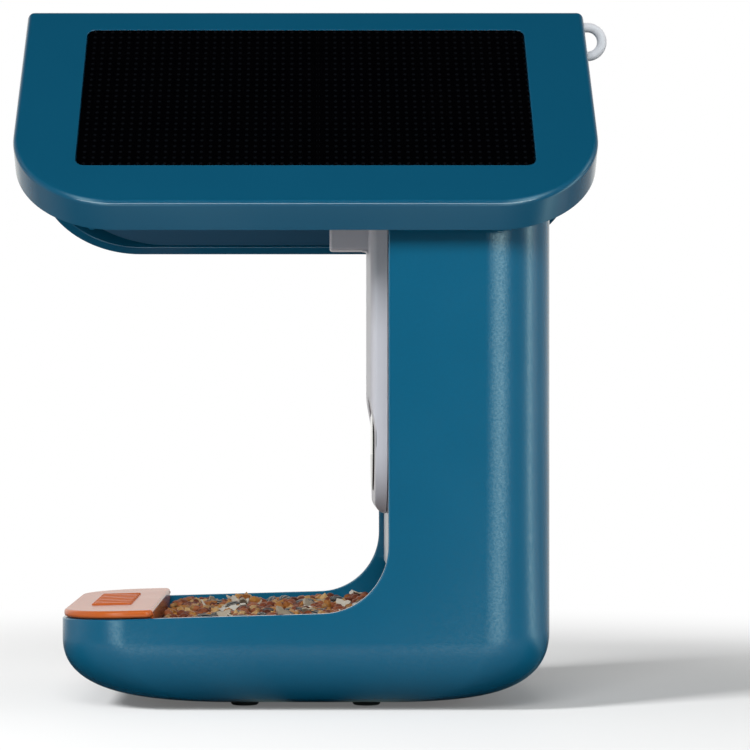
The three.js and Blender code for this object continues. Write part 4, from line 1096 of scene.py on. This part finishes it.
settle(face, "camera", module_abs, ["camera_face"])

# %% The module's rear shell
rear_shell = whole_module("module_rear_shell")
combine(rear_shell, "INTERSECT", block("rear_part", (PARTING + 0.3, 60), (-60, 60), (0, 260)))
combine(rear_shell, "DIFFERENCE", module_hollow(PARTING - 2, MODULE_REAR - MODULE_WALL))
soften(rear_shell, 0.25)
settle(rear_shell, "camera", module_abs, ["camera_housing"])

# %% [markdown]
# ## The perch cap
#
# The orange perch clips over the front of the tray's rim. Its plate follows the tray's plan
# with a rolled edge, a box below it drops into the tray, and seven low ribs on top give a
# bird's feet some grip. Each rib is a small prism whose edges roll almost into a dome.

# %% The perch cap
PERCH_REAR = -54.4
PERCH_PLATE = 2.7
PERCH_CORNER = 3.6


def perch_outline(inset=0.0):
    """The plate's plan: the tray's front corners, and small corners at the rear."""
    inset += 0.6
    front, half, radius = TRAY_FRONT + inset, HALF_WIDTH - inset, CORNER - inset
    rear, rear_half, rear_radius = PERCH_REAR - 3, HALF_WIDTH - PERCH_CORNER, PERCH_CORNER - inset
    return [
        *turn_points(front + radius, radius - half, radius, 2, 3, 24),
        *turn_points(rear, -rear_half, rear_radius, 3, 4, 8),
        *turn_points(rear, rear_half, rear_radius, 0, 1, 8),
        *turn_points(front + radius, half - radius, radius, 1, 2, 24)]


def on_perch(u, v, w):
    """A plan that leans with the rim: w is the height over the plate's top."""
    return u, v, rim_at(u) + SEAT_GAP + PERCH_PLATE + w


def under_rim(rear, low, lift):
    """Side view of the room that the cap's box takes below the plate."""
    def outline(inset=0.0):
        return [(-92, low), (rear, low), (rear, rim_at(rear) + lift), (-92, rim_at(-92) + lift)]

    return outline


perch = prism("perch_cap_moulding", perch_outline, -PERCH_PLATE, 0, on_perch, edge=1.1, steps=6)
box_room = prism("box_room", under_rim(PERCH_REAR, 9.8, 1.6), -64, 64, from_side)
inner_room = prism("inner_room", under_rim(PERCH_REAR - 2.2, 2, 0), -64, 64, from_side)
box = combine(housing_form("box", 3.3, 60), "INTERSECT", box_room)
inside = combine(housing_form("inside", 5.5, 60), "INTERSECT", inner_room)
combine(perch, "UNION", combine(box, "DIFFERENCE", inside))

# %% Grip ribs
GRIP_PITCH = 8.5
GRIP_HALF_LENGTH = 7.5
GRIP_ROUND = 1.3
perch_middle = (TRAY_FRONT + PERCH_REAR) / 2
for rib in range(7):
    y = (rib - 3) * GRIP_PITCH
    ridge = rounded_rectangle(
        perch_middle - GRIP_HALF_LENGTH, perch_middle + GRIP_HALF_LENGTH,
        y - GRIP_ROUND, y + GRIP_ROUND, GRIP_ROUND, steps=6)
    combine(perch, "UNION", prism("grip_rib", ridge, -1.4, 0.7, on_perch, edge=0.65, steps=4))
soften(perch, 0.25)
settle(perch, "perch", perch_abs, ["perch_cap"])

# %% [markdown]
# ## The lens window, the button and the flap
#
# A smoked disc covers the lens, with a ground bevel round its front edge. The power button
# is a shallow dome that a fingertip finds without looking, and the rubber flap over the
# charging port has a soft edge and a groove for a fingernail.

# %% Window, button and flap
window_profile = [
    (0.05, 24.9), (16.2, 24.9), (17.0, 25.05), (17.4, 25.4), (17.5, 25.8), (17.5, 27.1),
    (0.05, 27.1)]
window = turned("window_disc", window_profile, LENS_CENTRE, "X", 96)
settle(window, "camera", window_acrylic, ["lens_window"], angle=50)

button_profile = [
    (0.05, 23.95), (1.6, 23.93), (2.8, 23.87), (3.5, 23.84), (3.85, 23.98), (4.0, 24.3),
    (4.0, 27.9), (5.1, 27.9), (5.1, 29.1), (0.05, 29.1)]
button = turned("button_cap", button_profile, (0, -18, CONTROL_HEIGHT), "X", 48)
settle(button, "button", button_abs, ["power_button"], angle=40)

flap_outline = rounded_rectangle(11, 25, 178.3, 185.7, 0.6, steps=5)
flap = prism("port_flap_leaf", flap_outline, 23.8, 25.0, from_front, edge=0.35, steps=4)
pad = rounded_rectangle(14.4, 21.6, 181.2, 182.8, 0.75, steps=5)
combine(flap, "UNION", prism("pad", pad, 24.2, 25.6, from_front, edge=0.2, steps=2))
groove = rounded_rectangle(15, 21, 184.1, 184.6, 0.24, steps=3)
combine(flap, "DIFFERENCE", prism("groove", groove, 23, 24.05, from_front))
settle(flap, "flap", foot_rubber, ["port_flap"])

# %% [markdown]
# ## Feet and the hanging eye
#
# Each foot is a rubber disc with a rounded rim and a shallow hollow below that keeps it from
# rocking. The eye is moulded nylon wire: a half ring with two straight legs. It is one skin
# over round sections that follow that path.

# %% Feet
foot_nodes = sorted(name for name in nodes if name.startswith("foot"))
for number, name in enumerate(foot_nodes):
    low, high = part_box(name)
    x, y = ((a + b) / 2 / MM for a, b in zip(low[:2], high[:2]))
    radius, top = (high[0] - low[0]) / 2 / MM, high[2] / MM
    profile = [
        (0.05, 0.35), (radius - 1.6, 0.35), (radius - 1.2, 0.02), (radius - 0.6, 0.05),
        (radius - 0.12, 0.5), (radius, 1.0), (radius, top), (0.05, top)]
    foot = turned(f"foot_pad_{number + 1}", profile, (x - SHIFT, y, 0), "Z", 56)
    settle(foot, "root", foot_rubber, [name], angle=45)

# %% The hanging eye
EYE_SIDES = 24
# Places on the wire's middle line in a side view, and the way that it heads there
eye_path = [(EYE_X - EYE_LEG * (1 - k / 5), EYE_Z - EYE_MEAN, 0) for k in range(5)]
eye_path += [
    (EYE_X + EYE_MEAN * math.cos(t), EYE_Z + EYE_MEAN * math.sin(t), t + QUARTER)
    for t in (QUARTER * (k / 14 - 1) for k in range(29))]
eye_path += [(EYE_X - EYE_LEG * k / 5, EYE_Z + EYE_MEAN, 2 * QUARTER) for k in range(1, 6)]
eye_rings = []
for x, z, heading in eye_path:
    out = (math.sin(heading), -math.cos(heading))
    ring = []
    for k in range(EYE_SIDES):
        angle = 4 * QUARTER * k / EYE_SIDES
        reach = EYE_WIRE * math.cos(angle)
        ring.append((x + out[0] * reach, EYE_WIRE * math.sin(angle), z + out[1] * reach))
    eye_rings.append(ring)
print("rings along the eye's wire:", len(eye_rings))
eye = skin("hang_eye_wire", eye_rings)
settle(eye, "roof", eye_nylon, ["hang_eye"], angle=50)

# %% [markdown]
# ## The seed
#
# The tray holds a heap of mixed seed. Thousands of separate objects would make a slow scene,
# so all the grains of one kind become one mesh: a small template is turned, scaled and placed
# many times, with a random number kept on its points for its tone of colour. The random numbers
# start from a fixed seed, so that the heap is the same each time. A lumpy bed below the grains
# fills the gaps between them, in colours darker than most grains': painted shade for the
# hollows between them.

# %% The heap's surface
SEED_BACK = 71.0
RAMP_FOOT = 44.0
HEAP_BACK = 66.0
HEAP_SLOPE = 0.72
HEAP_DROP = 2.4
WAVE_LENGTH = 32
WAVE_HEIGHT = 1.3
SEED_FRONT = PERCH_REAR + 0.4


def seed_height(x, y):
    """The heap's surface: level in the tray, rising in the hopper, with slow waves."""
    climb = HEAP_SLOPE * max(0.0, min(x, HEAP_BACK) - RAMP_FOOT)
    level = rim_at(min(x, RAMP_FOOT)) - HEAP_DROP + climb
    turn = 4 * QUARTER / WAVE_LENGTH
    wave = math.sin(turn * (x + 0.35 * y)) * math.cos(turn * (0.85 * y - 0.35 * x))
    return level + WAVE_HEIGHT * wave


def lumpy(x, y):
    """The bed below the grains, lower than the surface and uneven."""
    return seed_height(x, y) - 2.2 + 0.9 * noise.noise(Vector((x / 9, y / 9, 0)))


print("surface in the tray and at the back:", [round(seed_height(x, 0), 1) for x in (0, SEED_BACK)])

# %% Seed bed
BED_HALF = 57.5
BED_DEPTH = 6
across = [-BED_HALF + 2 * BED_HALF * k / 46 for k in range(47)]
along = [SEED_FRONT + (SEED_BACK - SEED_FRONT) * k / 56 for k in range(57)]
bed_points = [(x, y, lumpy(x, y)) for x in along for y in across]
bed_points += [(x, y, lumpy(x, y) - BED_DEPTH) for x in along for y in across]
wide, long = len(across), len(along)
under = wide * long
bed_faces = []
for level in (0, under):
    for i in range(long - 1):
        for j in range(wide - 1):
            corner, opposite = level + i * wide + j, level + (i + 1) * wide + j
            bed_faces.append((corner, opposite, opposite + 1, corner + 1))
# The walk round the bed's edge, along which walls join its top and its underside
edge_walk = [
    *[i * wide for i in range(long)], *[(long - 1) * wide + j for j in range(1, wide)],
    *[i * wide + wide - 1 for i in range(long - 2, -1, -1)], *range(wide - 2, 0, -1)]
for a, b in zip(edge_walk, edge_walk[1:] + edge_walk[:1]):
    bed_faces.append((a, b, b + under, a + under))
bed = mesh_piece("seed_bed_lumpy", bed_points, bed_faces)
combine(bed, "INTERSECT", housing_form("seed_room", WALL + 0.3, 60))
bed_tint = bed.data.attributes.new("seed_tint", "FLOAT", "POINT")
for vert in bed.data.vertices:
    bed_tint.data[vert.index].value = 0.5 + 0.5 * noise.noise(vert.co / 3)
# Its darker colours are painted shade for the gaps between the grains.
settle(bed, "root", bed_skin_painted_shade, ["seed_bed"], weighted=False, angle=60)

# %% [markdown]
# ## The grains
#
# Milo and millet are small balls, cracked maize is a rough lump, and an oat flake is rolled
# flat. A sunflower seed is a flat spindle, blunt at one end. Each template is 1 mm long, and a
# grain's length, its turn and its tilt come from the random numbers. A grain that would stick
# into a wall is drawn again at another place. Most grains lie below the surface, so that only
# the topmost stand out of the heap.

# %% Templates for the grains


def walls(shape, rings, sides):
    """Faces between rings of points, each with the same number of sides."""
    shape.verts.ensure_lookup_table()
    for i in range(rings):
        for j in range(sides):
            low, high, after = i * sides, (i + 1) * sides, (j + 1) % sides
            ids = (low + j, low + after, high + after, high + j)
            shape.faces.new([shape.verts[k] for k in ids])


def sunflower_template(shape):
    """A flat spindle, thickest nearer to its blunt end."""
    rings, sides = 8, 10
    for i in range(rings + 1):
        along_seed = i / rings
        swell = math.sin(math.pi * along_seed ** 0.8) ** 0.75
        for j in range(sides):
            angle = 4 * QUARTER * j / sides
            y, z = 0.24 * swell * math.cos(angle), 0.15 * swell * math.sin(angle)
            shape.verts.new((along_seed - 0.5, y, z))
    walls(shape, rings, sides)
    bmesh.ops.remove_doubles(shape, verts=shape.verts, dist=0.004)


def flake_template(shape):
    """Rolled flat and broken: a thin, slightly bent plate with three blunt corners."""
    sides = 12
    for level in (-0.05, 0.05):
        for j in range(sides):
            angle = 4 * QUARTER * j / sides
            reach = 0.37 + 0.13 * math.cos(3 * angle)
            x, y = reach * math.cos(angle), reach * math.sin(angle)
            shape.verts.new((x, y, level + 0.5 * x * x))
    shape.verts.ensure_lookup_table()
    shape.faces.new([shape.verts[sides - 1 - j] for j in range(sides)])
    shape.faces.new([shape.verts[sides + j] for j in range(sides)])
    walls(shape, 1, sides)


def round_template(shape, kind):
    """A ball for millet, a slightly longer and flatter one for milo, and a lump for maize."""
    bmesh.ops.create_icosphere(shape, subdivisions=1 if kind == "maize" else 2, radius=0.5)
    for vert in shape.verts:
        if kind == "maize":
            vert.co *= 1 + 0.45 * noise.noise(vert.co * 3)
            vert.co.z *= 0.7
        elif kind == "milo":
            vert.co.z *= 0.82
            vert.co.x *= 1.06


def grain_template(kind):
    """The points and faces of one grain, 1 mm long: x is its length."""
    shape = bmesh.new()
    if kind == "sunflower":
        sunflower_template(shape)
    elif kind == "flake":
        flake_template(shape)
    else:
        round_template(shape, kind)
    shape.verts.index_update()
    points = [vert.co.copy() for vert in shape.verts]
    faces = [[vert.index for vert in face.verts] for face in shape.faces]
    shape.free()
    return points, faces


for kind in ("milo", "sunflower", "flake"):
    print("faces of one grain,", kind, len(grain_template(kind)[1]))

# %% Scattering the grains
SEED_MIX = random.Random(41)


def in_tray(x, y, margin):
    """Whether a grain stays clear of the housing's walls and of their rounded rear corners."""
    corner_x, corner_y = COLUMN_REAR - CORNER, HALF_WIDTH - CORNER
    if x > corner_x and abs(y) > corner_y:
        return math.hypot(x - corner_x, abs(y) - corner_y) < CORNER - WALL - margin
    return abs(y) < HALF_WIDTH - WALL - margin


def scatter(name, kind, material, count, size, lift, tilt, smooth=True):
    """Many grains of one kind as one mesh: size and lift are (least, most) in millimetres."""
    points, faces = grain_template(kind)
    all_points, all_faces, tints, stripes = [], [], [], []
    for _ in range(count):
        length = SEED_MIX.uniform(*size)
        margin = 1.0 + length * 0.5
        x, y = SEED_BACK, HALF_WIDTH
        while not in_tray(x, y, margin):
            x = SEED_MIX.uniform(SEED_FRONT + margin, SEED_BACK - margin)
            y = SEED_MIX.uniform(-58, 58)
        slope = math.atan(HEAP_SLOPE) if RAMP_FOOT < x < HEAP_BACK else 0.0
        place = (
            Matrix.Translation((x, y, seed_height(x, y) + SEED_MIX.uniform(*lift)))
            @ Matrix.Rotation(-slope, 4, "Y")
            @ Matrix.Rotation(SEED_MIX.uniform(0, 2 * math.pi), 4, "Z")
            @ Matrix.Rotation(SEED_MIX.gauss(0, tilt), 4, "Y")
            @ Matrix.Rotation(SEED_MIX.uniform(-1, 1) * tilt * 2, 4, "X")
            @ Matrix.Diagonal((
                length, length * SEED_MIX.uniform(0.85, 1.1),
                length * SEED_MIX.uniform(0.85, 1.1), 1)))
        start = len(all_points)
        all_points += [place @ point for point in points]
        all_faces += [[start + index for index in face] for face in faces]
        tints += [SEED_MIX.random()] * len(points)
        stripes += [math.atan2(point.z * 1.6, point.y) * 9 / (2 * math.pi) for point in points]
    grains = mesh_piece(name, all_points, all_faces)
    for label, values in (("seed_tint", tints), ("seed_stripe", stripes)):
        layer = grains.data.attributes.new(label, "FLOAT", "POINT")
        layer.data.foreach_set("value", values)
    settle(grains, "root", material, weighted=False, angle=70 if smooth else 12)


scatter("seeds_milo", "milo", milo_skin, 2700, (3.0, 4.3), (-2.4, -0.2), 0.5)
scatter("seeds_millet", "millet", millet_skin, 420, (2.2, 3.0), (-1.4, 0.3), 0.5)
scatter("seeds_maize", "maize", maize_skin, 420, (3.4, 5.4), (-1.8, 0.1), 0.9, smooth=False)
scatter("seeds_oat_flakes", "flake", flake_skin, 40, (5.5, 8.5), (-0.4, 0.8), 0.4, smooth=False)
scatter("seeds_sunflower", "sunflower", sunflower_skin, 60, (8.0, 10.5), (-0.9, 0.4), 0.2)

# %% [markdown]
# ## Finishes for the parts that stay as drawn
#
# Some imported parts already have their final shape: flat panels, boards, cells and the pin.
# They only need their real finish in place of the plain one from the drawing.

# %% Finishes
FINISHES = {
    solar_left: ["solar_panel_left"],
    solar_right: ["solar_panel_right"],
    panel_acrylic: ["front_panel"],
    module_abs: ["camera_dock"],
    ramp_abs: ["seed_ramp", "lens_barrel", "button_switch"],
    pin_steel: ["hinge_pin"],
    lens_glass: ["lens_glass"],
    board_mask: ["circuit_board", "control_board"],
    cell_sleeve: ["battery_cell_left", "battery_cell_right"],
    port_steel: ["charging_port"],
    insert_brass: ["bracket_insert"]}
for finish, names in FINISHES.items():
    for name in names:
        for place in nodes[name].material_slots:
            place.material = finish
    print(finish.name, "on", names)

# %% [markdown]
# ## A studio that only reflections see
#
# The photograph was taken in a white studio. Its lights are wide and soft, so they leave few
# shadows, and what tells the rounded corners apart is the reflection of the studio in them.
# Here that reflection is one strip of brightness round the horizon. Low boxes stand at about
# -28, 28 and 86 degrees from the side that the photograph shows, and each draws one upright
# highlight on a rounded corner of the housing. White cloth hangs behind. The dark gaps between
# the boxes matter as much, because they keep the blue deep between its highlights.

# %% The strip of the studio
STUDIO_PEAK = 5.0
COOL_RED = 0.75
# Turns in degrees from -Y, the side of the photograph, toward +X, and the brightness there
STUDIO = [
    (-180, 1.0), (-136, 1.0), (-112, 0.5), (-88, 0.65), (-66, 0.2), (-48, 0.12), (-38, 0.8),
    (-28, 4.2), (-20, 2.8), (-13, 0.2), (-6, 0.02), (4, 0.02), (10, 0.3), (17, 2.0), (26, 3.7),
    (34, 3.4), (47, 0.35), (60, 0.08), (71, 0.2), (79, 1.2), (86, 3.6), (92, 1.7), (99, 0.9),
    (110, 0.33), (125, 0.42), (145, 0.7), (165, 1.0)]


def studio_glow(tree, x, y):
    """The studio's brightness toward the direction (x, y), as a share of its peak."""
    front = add_node(tree, "ShaderNodeMath", {"operation": "MULTIPLY", 1: -1.0}, {0: y})
    angle = add_node(tree, "ShaderNodeMath", {"operation": "ARCTAN2"}, {0: x, 1: front})
    turn = add_node(
        tree, "ShaderNodeMapRange", {"From Min": -math.pi, "From Max": math.pi}, {"Value": angle})
    ramp = add_node(tree, "ShaderNodeValToRGB", {}, {"Fac": turn})
    stops = ramp.color_ramp.elements
    while len(stops) < len(STUDIO):
        stops.new(0.5)
    for stop, (degrees, level) in zip(stops, STUDIO):
        red = COOL_RED if level > 1 else 1.0
        share = level / STUDIO_PEAK
        stop.position = (degrees + 180) / 360
        stop.color = (share * red, share, share * 0.97, 1)
    return ramp.outputs["Color"]


print("places on the strip:", len(STUDIO), "peak:", STUDIO_PEAK)

# %% [markdown]
# ## The world
#
# The light path tells which kind of ray asks for the background. A camera ray or one that has
# passed through clear plastic gets plain white, as in the photograph. A glossy ray gets the
# strip, which fades out toward the top; its boxes at the sides are low, so that a roof seen
# from the front isn't washed out by them. Every other ray carries light for the colours, and
# gets a pale room: dim at the horizon, brighter overhead and to both sides.

# %% What a glossy ray meets
world = bpy.data.worlds.new("studio")
world.use_nodes = True
bpy.context.scene.world = world
sky = world.node_tree
direction = add_node(sky, "ShaderNodeTexCoord").outputs["Generated"]
toward = add_node(sky, "ShaderNodeSeparateXYZ", {}, {0: direction})
aside = add_node(sky, "ShaderNodeMath", {"operation": "ABSOLUTE"}, {0: toward.outputs["X"]})
low_down = add_node(
    sky, "ShaderNodeMapRange",
    {"From Min": 0.5, "From Max": 0.95, "To Min": STUDIO_PEAK, "To Max": 0.0},
    {"Value": toward.outputs["Z"]})
to_side = add_node(
    sky, "ShaderNodeMapRange", {"From Min": 0.85, "From Max": 0.95}, {"Value": aside})
above = add_node(
    sky, "ShaderNodeMapRange", {"From Min": 0.1, "From Max": 0.25, "To Min": 0.0, "To Max": 0.8},
    {"Value": toward.outputs["Z"]})
lost = add_node(sky, "ShaderNodeMath", {"operation": "MULTIPLY"}, {0: to_side, 1: above})
kept = add_node(sky, "ShaderNodeMath", {"operation": "SUBTRACT", 0: 1.0}, {1: lost})
strength = add_node(sky, "ShaderNodeMath", {"operation": "MULTIPLY"}, {0: low_down, 1: kept})
mirrored = add_node(
    sky, "ShaderNodeVectorMath", {"operation": "SCALE"},
    {0: studio_glow(sky, toward.outputs["X"], toward.outputs["Y"]), "Scale": strength})
print("nodes for reflections:", len(sky.nodes))

# %% What lights the colours
room = add_node(
    sky, "ShaderNodeMapRange", {"From Min": 0.0, "From Max": 0.7, "To Min": 0.04, "To Max": 0.2},
    {"Value": toward.outputs["Z"]})
beside = add_node(
    sky, "ShaderNodeMapRange",
    {"interpolation_type": "SMOOTHSTEP", "From Min": 0.8, "From Max": 0.97, "To Min": 0.0,
     "To Max": 3.2},
    {"Value": aside})
rightward = add_node(
    sky, "ShaderNodeMapRange", {"From Min": -1.0, "From Max": 1.0, "To Min": 0.65, "To Max": 1.2},
    {"Value": toward.outputs["X"]})
sides = add_node(sky, "ShaderNodeMath", {"operation": "MULTIPLY"}, {0: beside, 1: rightward})
diffused = add_node(sky, "ShaderNodeMath", {"operation": "ADD"}, {0: sides, 1: room})
print("nodes with the room's:", len(sky.nodes))

# %% Which ray gets what
ray = add_node(sky, "ShaderNodeLightPath")
unseen = add_node(
    sky, "ShaderNodeMix", {"data_type": "RGBA"},
    {0: ray.outputs["Is Glossy Ray"], 6: diffused, 7: mirrored})
seen = add_node(
    sky, "ShaderNodeMath", {"operation": "MAXIMUM"},
    {0: ray.outputs["Is Camera Ray"], 1: ray.outputs["Is Transmission Ray"]})
shown = add_node(
    sky, "ShaderNodeMix", {"data_type": "RGBA", 7: (1, 1, 1, 1)}, {0: seen, 6: unseen.outputs[2]})
sky.links.new(shown.outputs[2], sky.nodes["Background"].inputs["Color"])
sky.nodes["Background"].inputs["Strength"].default_value = 1.0
print("world:", world.name, "with", len(sky.nodes), "nodes")

# %% [markdown]
# ## The floor
#
# The floor is matt white paper that takes the feeder's soft shadow. Seen by the camera it
# fades into pure white away from the feeder, so it has no edge. To a diffuse ray it is grey,
# or it would throw too much light up under the roof. A glossy ray meets the strip of the
# studio on it, dim near the feeder and bright far out, and a small pale patch just in front,
# which lifts the lower edges.

# %% The floor's paper
HALF_FLOOR = 6
corners = [
    (HALF_FLOOR * x, HALF_FLOOR * y, 0) for x, y in ((-1, -1), (1, -1), (1, 1), (-1, 1))]
floor_mesh = bpy.data.meshes.new("floor")
floor_mesh.from_pydata(corners, [], [(0, 1, 2, 3)])
floor = bpy.data.objects.new("floor", floor_mesh)
bpy.context.scene.collection.objects.link(floor)
paper, paper_tree, paper_shader = start_material(
    "floor_paper_matt", Roughness=0.75, Emission_Color=(1, 1, 1, 1))
paper_ray = add_node(paper_tree, "ShaderNodeLightPath")
paper_place = add_node(paper_tree, "ShaderNodeTexCoord").outputs["Object"]
paper_glow = add_node(
    paper_tree, "ShaderNodeMapRange", {"To Min": 0.0, "To Max": 0.12},
    {"Value": paper_ray.outputs["Is Camera Ray"]})
paper_colour = add_node(
    paper_tree, "ShaderNodeMix", {"data_type": "RGBA", 6: linear(0xB6B6B6), 7: linear(0x787878)},
    {0: paper_ray.outputs["Is Diffuse Ray"]})
paper_tree.links.new(paper_glow.outputs["Result"], paper_shader.inputs["Emission Strength"])
paper_tree.links.new(paper_colour.outputs[2], paper_shader.inputs["Base Color"])
floor_mesh.materials.append(paper)
print("floor:", paper.name, 2 * HALF_FLOOR, "m wide")

# %% The floor's fade to white
away = add_node(paper_tree, "ShaderNodeVectorMath", {"operation": "LENGTH"}, {0: paper_place})
fade = add_node(
    paper_tree, "ShaderNodeMapRange",
    {"interpolation_type": "SMOOTHSTEP", "From Min": 0.16, "From Max": 0.48},
    {"Value": away.outputs["Value"]})
lit = add_node(
    paper_tree, "ShaderNodeMath", {"operation": "MAXIMUM"},
    {0: paper_ray.outputs["Is Camera Ray"], 1: paper_ray.outputs["Is Transmission Ray"]})
share = add_node(paper_tree, "ShaderNodeMath", {"operation": "MULTIPLY"}, {0: fade, 1: lit})
white = add_node(paper_tree, "ShaderNodeEmission", {"Color": (1, 1, 1, 1), "Strength": 1.0})
faded = add_node(paper_tree, "ShaderNodeMixShader", {}, {0: share, 1: paper_shader, 2: white})
print("nodes of the paper and its fade:", len(paper_tree.nodes))

# %% The floor in reflections
paper_parts = add_node(paper_tree, "ShaderNodeSeparateXYZ", {}, {0: paper_place})
mirror_glow = add_node(
    paper_tree, "ShaderNodeMapRange",
    {"From Min": 0.12, "From Max": 0.4, "To Min": 0.03 * STUDIO_PEAK, "To Max": 0.8 * STUDIO_PEAK},
    {"Value": away.outputs["Value"]})
far_floor = add_node(
    paper_tree, "ShaderNodeVectorMath", {"operation": "SCALE"},
    {0: studio_glow(paper_tree, paper_parts.outputs["X"], paper_parts.outputs["Y"]),
     "Scale": mirror_glow})
close_by = add_node(
    paper_tree, "ShaderNodeMapRange",
    {"From Min": 0.1, "From Max": 0.36, "To Min": 0.7, "To Max": 0.04},
    {"Value": away.outputs["Value"]})
before = add_node(
    paper_tree, "ShaderNodeMapRange",
    {"From Min": -0.05, "From Max": -0.14, "To Min": 0.0, "To Max": 1.0},
    {"Value": paper_parts.outputs["Y"]})
near_floor = add_node(
    paper_tree, "ShaderNodeMath", {"operation": "MULTIPLY"}, {0: close_by, 1: before})
mirrored_paper = add_node(
    paper_tree, "ShaderNodeVectorMath", {"operation": "ADD"}, {0: far_floor, 1: near_floor})
mirrored_floor = add_node(
    paper_tree, "ShaderNodeEmission", {"Strength": 1.0}, {"Color": mirrored_paper})
blend = add_node(
    paper_tree, "ShaderNodeMixShader", {},
    {0: paper_ray.outputs["Is Glossy Ray"], 1: faded, 2: mirrored_floor})
paper_tree.links.new(blend.outputs[0], paper_tree.nodes["Material Output"].inputs["Surface"])
print("all nodes of the floor:", len(paper_tree.nodes))

# %% [markdown]
# ## Three lamps
#
# One large box stands high before the side that the photograph shows and gives most of the
# light. The strip already shows the studio in reflections, so this box stays out of them. A
# second lamp lights the floor alone, and decides where the shadow on the paper falls. A third
# stands for the pale paper before the feeder, whose light fills the shade under the eaves; it
# lights only the roof.

# %% Lamps


def soft_box(name, place, aim, width, height, power):
    """A rectangular area light that faces a point; place and aim in metres, power in watts."""
    data = bpy.data.lights.new(name, "AREA")
    data.shape = "RECTANGLE"
    data.size, data.size_y = width, height
    data.energy = power
    lamp = bpy.data.objects.new(name, data)
    lamp.location = place
    lamp.rotation_euler = (Vector(aim) - Vector(place)).to_track_quat("-Z", "Y").to_euler()
    bpy.context.scene.collection.objects.link(lamp)
    print(name, power, "W")
    return lamp


def light_only(lamp, label, pieces):
    """Lets a lamp light some pieces and nothing else."""
    receivers = bpy.data.collections.new(label)
    for piece in pieces:
        receivers.objects.link(piece)
    lamp.light_linking.receiver_collection = receivers


main_box = soft_box("main_box", (-0.22, -1.87, 1.3), (0, 0, 0.13), 1.1, 1.0, 39)
main_box.visible_glossy = False
floor_key = soft_box("floor_key", (-1.3, -1.0, 1.2), (0, 0, 0), 0.45, 0.45, 66)
light_only(floor_key, "floor_only", [floor])
bounce_card = soft_box("bounce_card", (0, -0.5, 0.02), (0, -0.079, 0.175), 0.9, 0.2, 3.4)
roof_names = ("roof_moulding", "roof_cover_left_plate", "roof_cover_right_plate")
light_only(bounce_card, "roof_only", [bpy.data.objects[name] for name in roof_names])
bpy.context.scene.view_settings.view_transform = "Standard"
